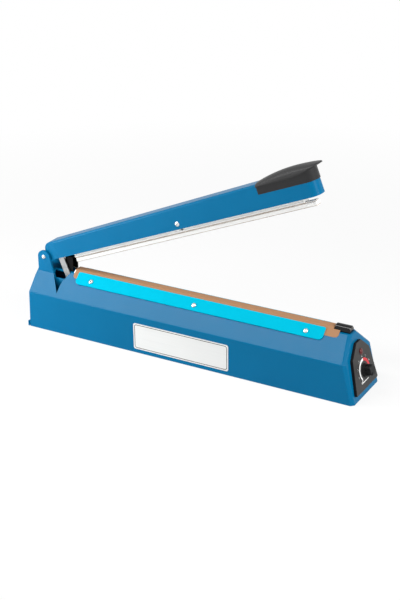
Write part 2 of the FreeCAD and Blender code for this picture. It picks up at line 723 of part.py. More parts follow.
def heating_element():
    """Flat resistance ribbon with an eye at each end."""
    left, right = post_spots()
    ribbon = box(left, right, -ELEMENT_WIDTH / 2, ELEMENT_WIDTH / 2, ELEMENT_Z, COVER_Z)
    up = Vector(0, 0, 1)
    eyes = [rod(Vector(x, 0, ELEMENT_Z), up, ELEMENT_EYE, ELEMENT_SHEET) for x in (left, right)]
    holes = [rod(Vector(x, 0, ELEMENT_Z), up, POST_DIAMETER, ELEMENT_SHEET) for x in (left, right)]
    return joined([ribbon] + eyes).cut(holes)


def slip_cover():
    """Thin coated glass cloth folded over the ridge and held under the two clamp plates."""
    slope = math.radians(SLOPE)
    fold = HALF_WIDTH - (COVER_Z - SHOULDER_Z) / math.tan(slope)
    hem, hem_z = COVER_WIDTH / 2, slope_z(COVER_WIDTH / 2)
    inner = [(hem, hem_z), (fold, COVER_Z)]
    outer = [(fold + COVER_SHEET * math.tan(slope / 2), COVER_Z + COVER_SHEET),
             (hem + COVER_SHEET * math.sin(slope), hem_z + COVER_SHEET * math.cos(slope))]
    outline = inner + [(-y, z) for y, z in reversed(inner)]
    outline += [(-y, z) for y, z in reversed(outer)] + outer
    cover = prism([Vector(COVER_START, y, z) for y, z in outline], Vector(COVER_LENGTH, 0, 0))
    gap = BARREL_DIAMETER / 2 + FREE_CLEARANCE
    cover = cover.cut(box(BARREL_START - FREE_CLEARANCE, FAR, -gap, gap, 0, FAR))
    blank = rounded_rectangle(COVER_START, COVER_START + COVER_LENGTH, -hem - 1, hem + 1,
                              COVER_CORNER, COVER_CORNER)
    return cover.common(blank.extrude(Vector(0, 0, FAR))).cut(clamp_holes())


def front_clamp_plate():
    blank = rounded_rectangle(CLAMP_START, CLAMP_START + CLAMP_LENGTH, CLAMP_LOW, CLAMP_LOW + CLAMP_WIDTH,
                              CLAMP_LOW_RADIUS, CLAMP_HIGH_RADIUS)
    plate = blank.extrude(Vector(0, 0, CLAMP_SHEET))
    plate.translate(Vector(0, 0, COVER_SHEET))
    return on_slope(plate).cut(clamp_holes())


def clamp_screws():
    screw = headed_screw(CLAMP_SCREW_HEAD, CLAMP_SCREW, CLAMP_SCREW_LENGTH)
    seat = COVER_SHEET + CLAMP_SHEET
    row = []
    for x in CLAMP_SCREW_X:
        one = screw.copy()
        one.translate(Vector(x, CLAMP_LOW + CLAMP_SCREW_UP, seat))
        row.append(on_slope(one))
    return Part.makeCompound(row + [mirror(s) for s in row])


def stop_barrel():
    """Black barrel that holds the element's right end and stops the arm's nose."""
    end = BARREL_START + BARREL_LENGTH
    body = barrel_rod(BARREL_START, end, BARREL_DIAMETER)
    rims = [e for e in body.Edges if e.Curve.TypeId == "Part::GeomCircle"]
    body = body.makeChamfer(BARREL_RIM, rims)
    post_x = post_spots()[1]
    bore = barrel_rod(BARREL_START, end - BARREL_CAP, BARREL_BORE)
    post = rod(Vector(post_x, 0, 0), Vector(0, 0, 1), POST_DIAMETER, BARREL_Z)
    return body.cut([bore, post])


def terminal_posts():
    """Upright posts that the element's eyes hook over."""
    left, right = post_spots()
    top = COVER_Z + POST_DIAMETER / 4
    stand = [(left, RIDGE_Z), (right, BARREL_Z - BARREL_DIAMETER / 2)]
    return Part.makeCompound([
        rod(Vector(x, 0, z), Vector(0, 0, 1), POST_DIAMETER, top - z) for x, z in stand])


def terminal_hood():
    """Black cover over the left terminal, open below and towards the jaw."""
    end, half = HOOD_START + HOOD_LENGTH, HOOD_WIDTH / 2
    body = box(HOOD_START, end, -half, half, RIDGE_Z, HOOD_TOP_Z)
    crown = [e for e in body.Edges if e.BoundBox.ZMin > HOOD_TOP_Z - 0.01]
    body = body.makeFillet(HOOD_WALL, crown)
    hollow = box(HOOD_START + HOOD_WALL, end + 1, HOOD_WALL - half, half - HOOD_WALL,
                 RIDGE_Z - 1, HOOD_TOP_Z - HOOD_WALL)
    return body.cut(hollow)


def label_plate():
    blank = rounded_rectangle(LABEL_START, LABEL_START + LABEL_LENGTH,
                              LABEL_LOW_Z, LABEL_LOW_Z + LABEL_HEIGHT, LABEL_RADIUS, LABEL_RADIUS)
    upright = Placement(Vector(0, -HALF_WIDTH, 0), Rotation(Vector(1, 0, 0), 90))
    return moved_by(blank.extrude(Vector(0, 0, LABEL_SHEET)), upright)


def control_panel():
    right = [(PANEL_LOW_WIDTH / 2, PANEL_LOW), (PANEL_SHOULDER_WIDTH / 2, PANEL_SHOULDER),
             (PANEL_TOP_WIDTH / 2, PANEL_TOP)]
    outline = right + [(-x, y) for x, y in reversed(right)]
    up = Vector(0, 0, 1)
    plate = prism([Vector(x, y, 0) for x, y in outline], up * PANEL_SHEET)
    corners = [e for e in plate.Edges if e.BoundBox.ZLength > PANEL_SHEET / 2]
    plate = plate.makeFillet(PANEL_RADIUS, corners)
    rim = [e for e in plate.Edges if e.BoundBox.ZMin > PANEL_SHEET - 0.01]
    plate = plate.makeChamfer(PANEL_RADIUS / 4, rim)
    holes = [rod(Vector(0, DIAL_UP, 0), up, POT_BUSH + 2 * SIDE_CLEARANCE, 2 * PANEL_SHEET),
             rod(Vector(0, LAMP_UP, 0), up, LAMP_DIAMETER + 2 * SIDE_CLEARANCE, 2 * PANEL_SHEET)]
    return on_panel(plate.cut(holes))


def indicator_lamp():
    """Red lens with its collar on the panel and its body behind the wall."""
    up, tail = Vector(0, 0, 1), WALL + PANEL_SHEET + LAMP_DIAMETER
    stem = rod(up * -tail, up, LAMP_DIAMETER, tail)
    collar = rod(Vector(0, 0, 0), up, LAMP_DIAMETER + 2 * LAMP_COLLAR, LAMP_COLLAR)
    lamp = joined([stem, collar, domed(LAMP_DIAMETER, LAMP_COLLAR, LAMP_RISE)])
    lamp.translate(Vector(0, LAMP_UP, PANEL_SHEET))
    return on_panel(lamp)


def timer_pot():
    """Timer control: can behind the wall, threaded bush through wall and panel, nut in front."""
    up, spot = Vector(0, 0, 1), Vector(0, DIAL_UP, 0)
    back, nut_top = -WALL - POT_DEPTH, PANEL_SHEET + POT_NUT_HEIGHT
    can = rod(spot + up * back, up, POT_DIAMETER, POT_DEPTH)
    bush = rod(spot - up * WALL, up, POT_BUSH, WALL + nut_top)
    nut = hexagon(spot + up * PANEL_SHEET, POT_NUT, POT_NUT_HEIGHT)
    bore = rod(spot + up * (back + SHAFT_FLOOR), up, POT_SHAFT + 2 * RUN_CLEARANCE,
               POT_DEPTH + 3 * WALL + nut_top)
    return on_panel(joined([can, bush, nut]).cut(bore))


def knob_base():
    return PANEL_SHEET + FREE_CLEARANCE


def timer_shaft():
    start = -WALL - POT_DEPTH + SHAFT_FLOOR + FREE_CLEARANCE
    end = knob_base() + KNOB_HEIGHT - KNOB_CAP
    return on_panel(rod(Vector(0, DIAL_UP, start), Vector(0, 0, 1), POT_SHAFT, end - start))


def timer_knob():
    """Fluted grip on a shallow skirt, with a pointer groove across the top."""
    up, low = Vector(0, 0, 1), knob_base()
    ledge = low + KNOB_SKIRT
    skirt_r, grip_r = KNOB_DIAMETER / 2, KNOB_GRIP_DIAMETER / 2
    skirt = Part.makeCone(skirt_r, skirt_r - KNOB_EDGE, KNOB_SKIRT, up * low)
    grip = Part.makeCone(grip_r, grip_r - KNOB_TAPER, KNOB_HEIGHT - KNOB_SKIRT, up * ledge)
    rim = [e for e in grip.Edges
           if e.Curve.TypeId == "Part::GeomCircle" and e.BoundBox.ZMin > ledge]
    grip = grip.makeChamfer(KNOB_EDGE, rim)
    flutes = []
    for i in range(KNOB_FLUTES):
        turn = 2 * math.pi * (i + 0.5) / KNOB_FLUTES
        spot = Vector(grip_r * math.cos(turn), grip_r * math.sin(turn), ledge)
        flutes.append(rod(spot, up, KNOB_FLUTE_DIAMETER, KNOB_HEIGHT))
    half, top = KNOB_POINTER_WIDTH / 2, low + KNOB_HEIGHT
    pointer = box(POT_SHAFT / 2, skirt_r, -half, half, top - KNOB_POINTER_DEPTH, top + KNOB_EDGE)
    body = joined([skirt, grip.cut(flutes + [pointer])])
    nut_well = rod(up * low, up, 2 * POT_NUT / math.sqrt(3) + 2 * FREE_CLEARANCE,
                   POT_NUT_HEIGHT + FREE_CLEARANCE)
    bore = rod(up * low, up, POT_SHAFT, KNOB_HEIGHT - KNOB_CAP)
    knob = body.cut([nut_well, bore])
    knob.rotate(Vector(0, 0, 0), up, KNOB_REST)
    knob.translate(Vector(0, DIAL_UP, 0))
    return on_panel(knob)


def leg_y():
    """Middle of the front switch leg."""
    return -(bracket_inner() + BRACKET_SHEET / 2)


def switch_pivot():
    return Vector(SWITCH_END - SWITCH_PIVOT_IN, leg_y(), SWITCH_TOP_Z + SWITCH_PIVOT_UP)


def switch_body():
    y, half = leg_y(), SWITCH_WIDTH / 2
    case = box(SWITCH_END - SWITCH_LENGTH, SWITCH_END, y - half, y + half,
               SWITCH_TOP_Z - SWITCH_HEIGHT, SWITCH_TOP_Z)
    gap = LEVER_WIDTH / 2 + SIDE_CLEARANCE
    lug = box(SWITCH_END - 2 * SWITCH_PIVOT_IN, SWITCH_END, y + gap, y + half, SWITCH_TOP_Z,
              SWITCH_TOP_Z + 2 * SWITCH_PIVOT_UP)
    other = lug.mirror(Vector(0, y, 0), Vector(0, 1, 0))
    pin = rod(switch_pivot() - Vector(0, half, 0), Vector(0, 1, 0), LEVER_PIN, SWITCH_WIDTH)
    button = rod(Vector(SWITCH_END - SWITCH_LENGTH / 2, y, SWITCH_TOP_Z), Vector(0, 0, 1),
                 SWITCH_BUTTON, SWITCH_BUTTON_RISE)
    return joined([case, lug, other, pin, button])


def switch_lever():
    """Spring-steel lever with a rolled knuckle round the switch's pin."""
    half, bore = LEVER_WIDTH / 2, LEVER_PIN + 2 * RUN_CLEARANCE
    outer = bore / 2 + LEVER_SHEET
    blade = box(-LEVER_LENGTH, 0, -half, half, outer - LEVER_SHEET, outer)
    knuckle = rod(Vector(0, -half, 0), Vector(0, 1, 0), 2 * outer, LEVER_WIDTH)
    lever = joined([blade, knuckle]).cut(rod(Vector(0, -half, 0), Vector(0, 1, 0), bore, LEVER_WIDTH))
    lever.rotate(Vector(0, 0, 0), Vector(0, 1, 0), LEVER_REST)
    lever.translate(switch_pivot())
    return lever


def switch_stand():
    """Bent plate on the tray that carries the switch on its side."""
    face = leg_y() + SWITCH_WIDTH / 2
    end, start = SWITCH_END, SWITCH_END - SWITCH_STAND_LENGTH
    plate = box(start, end, face, face + SWITCH_STAND_SHEET, TRAY_TOP_Z, SWITCH_TOP_Z)
    foot = box(start, end, face, face + SWITCH_STAND_FOOT, TRAY_TOP_Z, TRAY_TOP_Z + SWITCH_STAND_SHEET)
    return joined([plate, foot])


def transformer_core():
    """Laminated core with a window on each side of the middle limb."""
    x0, x1 = CORE_X - CORE_WIDTH / 2, CORE_X + CORE_WIDTH / 2
    z0, z1 = TRAY_TOP_Z, TRAY_TOP_Z + CORE_HEIGHT
    half = CORE_STACK / 2
    window = box(x0 + CORE_LIMB, CORE_X - CORE_LIMB, -half, half, z0 + CORE_LIMB, z1 - CORE_LIMB)
    other = box(CORE_X + CORE_LIMB, x1 - CORE_LIMB, -half, half, z0 + CORE_LIMB, z1 - CORE_LIMB)
    return box(x0, x1, -half, half, z0, z1).cut([window, other])


def transformer_coil():
    """Wound coil round the middle limb, filling the windows."""
    limb_x, limb_y = CORE_LIMB, CORE_STACK / 2
    window_low, window_high = TRAY_TOP_Z + CORE_LIMB, TRAY_TOP_Z + CORE_HEIGHT - CORE_LIMB
    grow = COIL_GROWTH
    blank = rounded_rectangle(CORE_X - limb_x - grow, CORE_X + limb_x + grow, -limb_y - grow, limb_y + grow,
                              grow / 2, grow / 2)
    coil = blank.extrude(Vector(0, 0, window_high - window_low))
    coil.translate(Vector(0, 0, window_low))
    return coil.cut(box(CORE_X - limb_x, CORE_X + limb_x, -limb_y, limb_y, 0, FAR))


def transformer_strap():
    """Steel strap over the core, with a foot on the tray at each end."""
    x0, x1 = CORE_X - CORE_WIDTH / 2, CORE_X + CORE_WIDTH / 2
    low, top, t = TRAY_TOP_Z, TRAY_TOP_Z + CORE_HEIGHT, STRAP_SHEET
    outline = [(x0, low), (x0, top), (x1, top), (x1, low), (x1 + STRAP_FOOT, low),
               (x1 + STRAP_FOOT, low + t), (x1 + t, low + t), (x1 + t, top + t), (x0 - t, top + t),
               (x0 - t, low + t), (x0 - STRAP_FOOT, low + t), (x0 - STRAP_FOOT, low)]
    half = STRAP_WIDTH / 2
    return prism([Vector(x, -half, z) for x, z in outline], Vector(0, STRAP_WIDTH, 0))


def board_corners():
    x, y = BOARD_LENGTH / 2 - STANDOFF_DIAMETER, BOARD_WIDTH / 2 - STANDOFF_DIAMETER
    return [Vector(BOARD_X + sx * x, sy * y, TRAY_TOP_Z) for sx in (-1, 1) for sy in (-1, 1)]


def board_standoffs():
    return Part.makeCompound([hexagon(p, STANDOFF_DIAMETER, BOARD_UP) for p in board_corners()])


def timer_board():
    low = TRAY_TOP_Z + BOARD_UP
    return box(BOARD_X - BOARD_LENGTH / 2, BOARD_X + BOARD_LENGTH / 2, -BOARD_WIDTH / 2, BOARD_WIDTH / 2,
               low, low + BOARD_SHEET)


def timer_relay():
    length, width, height = RELAY
    low = TRAY_TOP_Z + BOARD_UP + BOARD_SHEET
    return box(BOARD_X - length, BOARD_X, -BOARD_WIDTH / 4 - width / 2, -BOARD_WIDTH / 4 + width / 2,
               low, low + height)


def timer_capacitor():
    low = TRAY_TOP_Z + BOARD_UP + BOARD_SHEET
    return rod(Vector(BOARD_X - RELAY[0] / 2, BOARD_WIDTH / 4, low), Vector(0, 0, 1),
               CAPACITOR_DIAMETER, CAPACITOR_HEIGHT)


def cable_bush():
    """Rubber bush that lines the cable hole in the back wall."""
    back, inside = HALF_WIDTH, HALF_WIDTH - WALL
    lip = BUSH_FLANGE_SHEET / 2
    points = [(BUSH_BORE, inside - lip), (BUSH_FLANGE, inside - lip), (BUSH_FLANGE, inside),
              (BUSH_NECK, inside), (BUSH_NECK, back), (BUSH_FLANGE, back),
              (BUSH_NECK, back + BUSH_FLANGE_SHEET), (BUSH_BORE, back + BUSH_FLANGE_SHEET)]
    outline = [Vector(BUSH_X + d / 2, y, BUSH_Z) for d, y in points]
    face = Part.Face(Part.makePolygon(outline + outline[:1]))
    return face.revolve(Vector(BUSH_X, 0, BUSH_Z), Vector(0, 1, 0), 360)


def arm_trough(inset):
    """The arm's running section, rounded at its shoulders, longer than the arm at both ends."""
    half, top, r = ARM_WIDTH / 2 - inset, -inset, ARM_EDGE_RADIUS - inset
    k, low, start = r * (1 - math.sqrt(0.5)), -4 * ARM_NOSE_RISE, -ARM_REACH / 10
    left = [Vector(start, -half, low), Vector(start, -half, top - r),
            Vector(start, k - half, top - k), Vector(start, r - half, top)]
    right = [Vector(p.x, -p.y, p.z) for p in left]
    section = Part.Wire([
        Part.makeLine(left[0], left[1]), Part.Arc(*left[1:]).toShape(), Part.makeLine(left[3], right[3]),
        Part.Arc(right[3], right[2], right[1]).toShape(), Part.makeLine(right[1], right[0]),
        Part.makeLine(right[0], left[0])])
    trough = Part.Face(section).extrude(Vector(1.2 * ARM_REACH, 0, 0))
    climb = math.degrees(math.atan2(ARM_NOSE_RISE - ARM_TAIL_RISE, ARM_REACH))
    return moved_by(trough, Placement(Vector(0, 0, ARM_TAIL_RISE), Rotation(Vector(0, 1, 0), -climb)))


def arm_side(inset, low):
    """Side view of the arm as a slab: rounded tail, straight underside, lug round the pivot."""
    bend = ARM_TAIL_START + ARM_TAIL_ROUND
    crown = arm_top(bend)
    middle, r = Vector(bend, 0, crown - ARM_TAIL_ROUND), ARM_TAIL_ROUND - inset
    arc = Part.Arc(middle + Vector(0, 0, r), middle + Vector(-r, 0, r) * math.sqrt(0.5),
                   middle - Vector(r, 0, 0))
    nose, roof = ARM_REACH - inset, 2 * ARM_NOSE_RISE
    if inset:
        tail = [Vector(ARM_TAIL_START, 0, middle.z), Vector(ARM_TAIL_START, 0, roof),
                Vector(-ARM_REACH / 10, 0, roof), Vector(-ARM_REACH / 10, 0, low)]
        lug = []
    else:
        tail = [Vector(0, 0, ARM_DROP)]
        lug = [Part.Arc(Vector(0, 0, ARM_DROP), Vector(-ARM_DROP, 0, 0), Vector(0, 0, -ARM_DROP)).toShape()]
    belly = [tail[-1] if inset else Vector(0, 0, -ARM_DROP), Vector(nose, 0, low), Vector(nose, 0, roof),
             Vector(bend, 0, roof), Vector(bend, 0, crown - inset)]
    back = [Vector(ARM_TAIL_START + inset, 0, middle.z)] + tail
    edges = [Part.makeLine(a, b) for a, b in zip(belly, belly[1:])] + [arc.toShape()]
    edges += [Part.makeLine(a, b) for a, b in zip(back, back[1:])] + lug
    face = Part.Face(Part.Wire(edges))
    slab = face.extrude(Vector(0, 2 * ARM_WIDTH, 0))
    slab.translate(Vector(0, -ARM_WIDTH, 0))
    return slab


def arm_plan(inset, low):
    """Top view of the arm as a block: narrow neck at the hinge, rounded nose."""
    neck, half = ARM_NECK_WIDTH / 2 - inset, ARM_WIDTH / 2 - inset
    nose, r = ARM_REACH - inset, ARM_NOSE_ROUND - inset
    wide = ARM_NECK_END + ARM_NECK_BLEND
    side = [Vector(-ARM_REACH / 10, neck, low), Vector(ARM_NECK_END, neck, low), Vector(wide, half, low),
            Vector(nose - r, half, low)]
    turn = Part.Arc(side[-1], Vector(nose - r, half - r, low) + Vector(r, r, 0) * math.sqrt(0.5),
                    Vector(nose, half - r, low)).toShape()
    half_edges = [Part.makeLine(a, b) for a, b in zip(side, side[1:])] + [turn]
    edges = half_edges + [mirror(e) for e in half_edges]
    edges.append(Part.makeLine(Vector(nose, half - r, low), Vector(nose, r - half, low)))
    edges.append(Part.makeLine(side[0], Vector(side[0].x, -side[0].y, low)))
    face = Part.Face(Part.Wire(Part.__sortEdges__(edges)))
    return face.extrude(Vector(0, 0, 4 * ARM_NOSE_RISE))


def arm_form(inset):
    low = -ARM_DROP if inset == 0 else -2 * ARM_DROP
    return arm_trough(inset).common(arm_side(inset, low)).common(arm_plan(inset, low))


def cross_bore(u, diameter):
    return rod(Vector(u, -ARM_WIDTH, 0), Vector(0, 1, 0), diameter, 2 * ARM_WIDTH)


def arm_channel():
    """Pressed sheet arm, open below, with pivot holes at the neck and a pin hole half way along."""
    channel = arm_form(0).cut(arm_form(ARM_SHEET))
    return on_arm(channel.cut([cross_bore(0, PIN_DIAMETER + 2 * RUN_CLEARANCE),
                               cross_bore(BAR_PIN_U, BAR_PIN_DIAMETER), lift_slot()]))


def arm_bracket():
    """Plated steel bracket in the arm's tail: two cheeks on the pin, a roof, and the switch legs."""
    roof = lambda u: arm_top(u) - ARM_SHEET - SIDE_CLEARANCE / 2
    start, end = ARM_NECK_END + ARM_NECK_BLEND, BRACKET_END
    leg_end = LEG_START + LEG_WIDTH
    ease = ARM_EDGE_RADIUS / 4
    under_tail = arm_top(ARM_TAIL_START + ARM_TAIL_ROUND) - ARM_TAIL_ROUND - 2 * SIDE_CLEARANCE
    tail_end = ARM_TAIL_START + ARM_SHEET + 2 * SIDE_CLEARANCE
    corners = [(0, -ARM_DROP), (LEG_START, -ARM_DROP), (LEG_START, -LEG_DROP), (leg_end, -LEG_DROP),
               (leg_end, -ARM_DROP / 2), (end, -ARM_DROP / 2), (end, roof(end) - ease),
               (start, roof(start) - ease), (tail_end, under_tail),
               (math.sqrt(ARM_DROP ** 2 - under_tail ** 2), under_tail)]
    outline = [Vector(u, 0, w) for u, w in corners]
    edges = [Part.makeLine(a, b) for a, b in zip(outline, outline[1:])]
    edges.append(Part.Arc(outline[-1], Vector(-ARM_DROP, 0, 0), outline[0]).toShape())
    cheek = Part.Face(Part.Wire(edges)).extrude(Vector(0, BRACKET_SHEET, 0))
    cheek.translate(Vector(0, bracket_inner(), 0))
    half = bracket_inner() + BRACKET_SHEET / 2
    lid = [Vector(start, -half, roof(start)), Vector(end, -half, roof(end)),
           Vector(end, -half, roof(end) - BRACKET_SHEET), Vector(start, -half, roof(start) - BRACKET_SHEET)]
    web = prism(lid, Vector(0, 2 * half, 0))
    bracket = joined([cheek, mirror(cheek), web])
    return on_arm(bracket.cut(cross_bore(0, PIN_DIAMETER + 2 * RUN_CLEARANCE)))


def bar_pin():
    """Riveted pin through the arm, with a drilled dimple in each head."""
    pin = riveted_pin(ARM_WIDTH / 2, BAR_PIN_DIAMETER, BAR_PIN_HEAD, PIN_HEAD_HEIGHT)
    low = ARM_WIDTH / 2 + PIN_HEAD_HEIGHT - BAR_PIN_DIMPLE_DEPTH
    dimple = rod(Vector(0, low, 0), Vector(0, 1, 0), BAR_PIN_DIMPLE, PIN_HEAD_HEIGHT)
    pin = pin.cut([dimple, mirror(dimple)])
    pin.translate(Vector(BAR_PIN_U, 0, 0))
    return on_arm(pin)


def press_bar():
    """White channel, open towards the arm, with slotted lugs that ride on the arm's pin."""
    half, inner = BAR_WIDTH / 2, BAR_WIDTH / 2 - BAR_SHEET
    floor_top = BAR_FLOOR - BAR_FLOOR_DROP
    groove_z = -ARM_DROP - (BAR_FLOOR_DROP - ARM_DROP) / 2
    right = [(half, -BAR_FLOOR_DROP), (half, groove_z - BAR_GROOVE), (half - BAR_GROOVE, groove_z),
             (half, groove_z + BAR_GROOVE), (half, -BAR_TOP_DROP), (inner, -BAR_TOP_DROP), (inner, floor_top)]
    outline = right + [(-y, z) for y, z in reversed(right)]
    channel = prism([Vector(BAR_START, y, z) for y, z in outline], Vector(BAR_LENGTH, 0, 0))
    u0, u1 = BAR_PIN_U - BAR_LUG_LENGTH / 2, BAR_PIN_U + BAR_LUG_LENGTH / 2
    lug = box(u0, u1, inner, half, -BAR_TOP_DROP, BAR_LUG_RISE)
    corners = [e for e in lug.Edges if e.BoundBox.YLength > BAR_SHEET / 2 and e.BoundBox.ZMin > 0]
    lug = lug.makeFillet(BAR_LUG_RISE / 2, corners)
    wide = BAR_PIN_DIAMETER + 2 * BAR_SLOT_CLEARANCE
    low = -BAR_TRAVEL
    slot = joined([cross_bore(BAR_PIN_U, wide),
                   rod(Vector(BAR_PIN_U, -ARM_WIDTH, low), Vector(0, 1, 0), wide, 2 * ARM_WIDTH),
                   box(BAR_PIN_U - wide / 2, BAR_PIN_U + wide / 2, -ARM_WIDTH, ARM_WIDTH, low, 0)])
    return on_arm(joined([channel, lug, mirror(lug)]).cut(slot))


def press_strip():
    """Soft strip under the bar, with a grooved side and a crowned face."""
    half, top, face = STRIP_WIDTH / 2, -BAR_FLOOR_DROP, -STRIP_FACE_DROP
    shoulder = top - 2 * STRIP_GROOVE
    side = [(half - STRIP_GROOVE, top), (half - STRIP_GROOVE, shoulder + STRIP_GROOVE), (half, shoulder),
            (half, face + STRIP_CROWN)]
    right = [Vector(BAR_START, y, z) for y, z in side]
    left = [Vector(p.x, -p.y, p.z) for p in right]
    edges = [Part.makeLine(a, b) for a, b in zip(right, right[1:])]
    edges += [Part.makeLine(a, b) for a, b in zip(left, left[1:])]
    crown = Part.Arc(right[-1], Vector(BAR_START, 0, face), left[-1]).toShape()
    edges += [Part.makeLine(left[0], right[0]), crown]
    outline = Part.Face(Part.Wire(Part.__sortEdges__(edges)))
    return on_arm(outline.extrude(Vector(BAR_LENGTH + STRIP_OVERHANG, 0, 0)))


def press_spring(u):
    """Bowed leaf between the floor of the press bar and the arm's roof, with flat toes."""
    floor = BAR_FLOOR - BAR_FLOOR_DROP + SIDE_CLEARANCE
    crown = arm_top(u - PRESS_LEAF_SPAN / 8) - ARM_SHEET - 2 * SIDE_CLEARANCE - PRESS_LEAF
    foot, toe = PRESS_LEAF_SPAN / 2 - PRESS_LEAF_TOE, PRESS_LEAF_SPAN / 2
    low, high = Vector(0, 0, floor), Vector(0, 0, floor + PRESS_LEAF)
    arch = Part.Arc(low - Vector(foot, 0, 0), Vector(0, 0, crown), low + Vector(foot, 0, 0)).toShape()
    back = Part.Arc(high - Vector(foot, 0, 0), Vector(0, 0, crown + PRESS_LEAF),
                    high + Vector(foot, 0, 0)).toShape()
    edges = [arch, back]
    for side in (-1, 1):
        heel, tip = Vector(side * foot, 0, 0), Vector(side * toe, 0, 0)
        edges += [Part.makeLine(low + heel, low + tip), Part.makeLine(low + tip, high + tip),
                  Part.makeLine(high + tip, high + heel)]
    leaf = Part.Face(Part.Wire(Part.__sortEdges__(edges))).extrude(Vector(0, PRESS_LEAF_WIDTH, 0))
    leaf.translate(Vector(u, -PRESS_LEAF_WIDTH / 2, 0))
    return on_arm(leaf)


def handle_plan(tip, half, radius):
    """Block with the handle's rounded end in plan."""
    blank = rounded_rectangle(-half, half, HANDLE_START, tip, 0, radius)
    turned = Placement(Vector(0, 0, 0), Rotation(Vector(0, 0, 1), -90))
    return moved_by(blank.extrude(Vector(0, 0, 3 * HANDLE_TIP_RISE)), turned)


def handle_crown(start, end, half):
    """Space under a top whose middle runs from start to end and which falls away to both sides."""
    along = (end - start).normalize()
    down = Vector(along.z, 0, -along.x)
    side, low = Vector(0, half, 0) + down * HANDLE_CROWN, down * 2 * HANDLE_TIP_RISE
    left, right = start + side - Vector(0, 2 * half, 0), start + side
    edges = [Part.Arc(left, start, right).toShape(), Part.makeLine(right, right + low),
             Part.makeLine(right + low, left + low), Part.makeLine(left + low, left)]
    crown = Part.Face(Part.Wire(edges)).extrude(along * 2 * HANDLE_LENGTH)
    crown.translate(along * -HANDLE_LENGTH / 4)
    return crown


def handle_cap():
    """Moulded cap over the arm's end, with a skirt round the nose, a crowned top and a lip to press on."""
    half, nose = ARM_WIDTH / 2 + HANDLE_SKIN, ARM_REACH + HANDLE_SKIN
    tip, high = nose + HANDLE_LIP, 2 * HANDLE_TIP_RISE
    deck = lambda u: arm_top(u) + HANDLE_SKIN
    rise = HANDLE_TIP_RISE - HANDLE_LIP_SHEET
    bend = HANDLE_START + (nose - HANDLE_START) / 2
    skirt = prism([Vector(HANDLE_START, -half, HANDLE_SKIRT), Vector(nose, -half, HANDLE_SKIRT),
                   Vector(nose, -half, high), Vector(HANDLE_START, -half, high)], Vector(0, 2 * half, 0))
    skirt = skirt.common(handle_plan(nose, half, ARM_NOSE_ROUND + HANDLE_SKIN))
    lip = prism([Vector(bend, -half, deck(bend)), Vector(nose, -half, rise), Vector(tip, -half, rise),
                 Vector(tip, -half, high), Vector(bend, -half, high)], Vector(0, 2 * half, 0))
    lip = lip.common(handle_plan(tip, half, half - 1))
    crest = Vector(HANDLE_START, 0, deck(HANDLE_START) + HANDLE_SWELL)
    crown = handle_crown(crest, Vector(tip, 0, HANDLE_TIP_RISE), half)
    return on_arm(joined([skirt, lip]).common(crown).cut(arm_form(0)))


NODES = {
    "housing": housing,
    "bottom_tray": bottom_tray,
    "rubber_feet": rubber_feet,
    "tray_screws": tray_screws,
    "hinge_bracket": hinge_bracket,
    "hinge_pin": hinge_pin,
    "hinge_sleeve": hinge_sleeve,
    "hinge_washers": hinge_washers,
    "hinge_spring": hinge_spring,
    "element_rail": element_rail,
    "rail_tape": rail_tape,
    "heating_element": heating_element,
    "slip_cover": slip_cover,
    "front_clamp_plate": front_clamp_plate,
    "rear_clamp_plate": lambda: mirror(front_clamp_plate()),
    "clamp_screws": clamp_screws,
    "stop_barrel": stop_barrel,
    "terminal_posts": terminal_posts,
    "terminal_hood": terminal_hood,
    "label_plate": label_plate,
    "control_panel": control_panel,
    "indicator_lamp": indicator_lamp,
    "timer_pot": timer_pot,
    "timer_shaft": timer_shaft,
    "timer_knob": timer_knob,
    "switch_body": switch_body,
    "switch_lever": switch_lever,
    "switch_stand": switch_stand,
    "transformer_core": transformer_core,
    "transformer_coil": transformer_coil,
    "transformer_strap": transformer_strap,
    "board_standoffs": board_standoffs,
    "timer_board": timer_board,
    "timer_relay": timer_relay,
    "timer_capacitor": timer_capacitor,
    "cable_bush": cable_bush,
    "arm_channel": arm_channel,
    "arm_bracket": arm_bracket,
    "bar_pin": bar_pin,
    "press_bar": press_bar,
    "press_strip": press_strip,
    "press_spring_left": lambda: press_spring(BAR_PIN_U - PRESS_LEAF_OFFSET),
    "press_spring_right": lambda: press_spring(BAR_PIN_U + PRESS_LEAF_OFFSET),
    "handle_cap": handle_cap,
}


def middle_x():
    """Middle of the overall length, from the tray's lip to the face of the knob."""
    lean = math.radians(PANEL_LEAN)
    low_rim = DIAL_UP - KNOB_GRIP_DIAMETER / 2 + KNOB_TAPER + KNOB_EDGE
    knob_x = HALF_LENGTH - math.sin(lean) * low_rim + math.cos(lean) * (knob_base() + KNOB_HEIGHT)
    return (knob_x - HALF_LENGTH - TRAY_LIP) / 2


def main():
    os.makedirs("parts", exist_ok=True)
    to_origin = Placement(Vector(-middle_x(), 0, 0), Rotation())
    for name, make in NODES.items():
        shape = moved_by(make(), to_origin)
        shape.exportStep(os.path.join("parts", name + ".step"))
        print(f"{name}: {len(shape.Solids)} solid(s), {shape.Volume / 1000:.2f} cm3")
    print(f"origin at x = {middle_x():.3f} mm of the housing's own middle")
    print(f"arm turns {OPEN_ANGLE:.0f} degrees, press bar slides {BAR_TRAVEL:.3f} mm")
    print(f"switch lever turns {LEVER_TURN:.0f} degrees")


main()
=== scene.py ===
# %% [markdown]
# # An impulse heat sealer, finished in Blender
# The pieces come from the packed model at their real size and place, in metres. This lesson gives each
# one the finish that it has on the bench, and makes the few pieces that a CAD solid shows too plainly:
# the cloth over the heating strip and the tape under it, the screws with their cross recesses, the springs
# of the hinge and the bar, the bar's end tabs, the shields behind the notches, the domed handle and
# the dial's numbers.

# %% Load the packed model
import json
import math

import bmesh
import bpy
from mathutils import Matrix, Vector


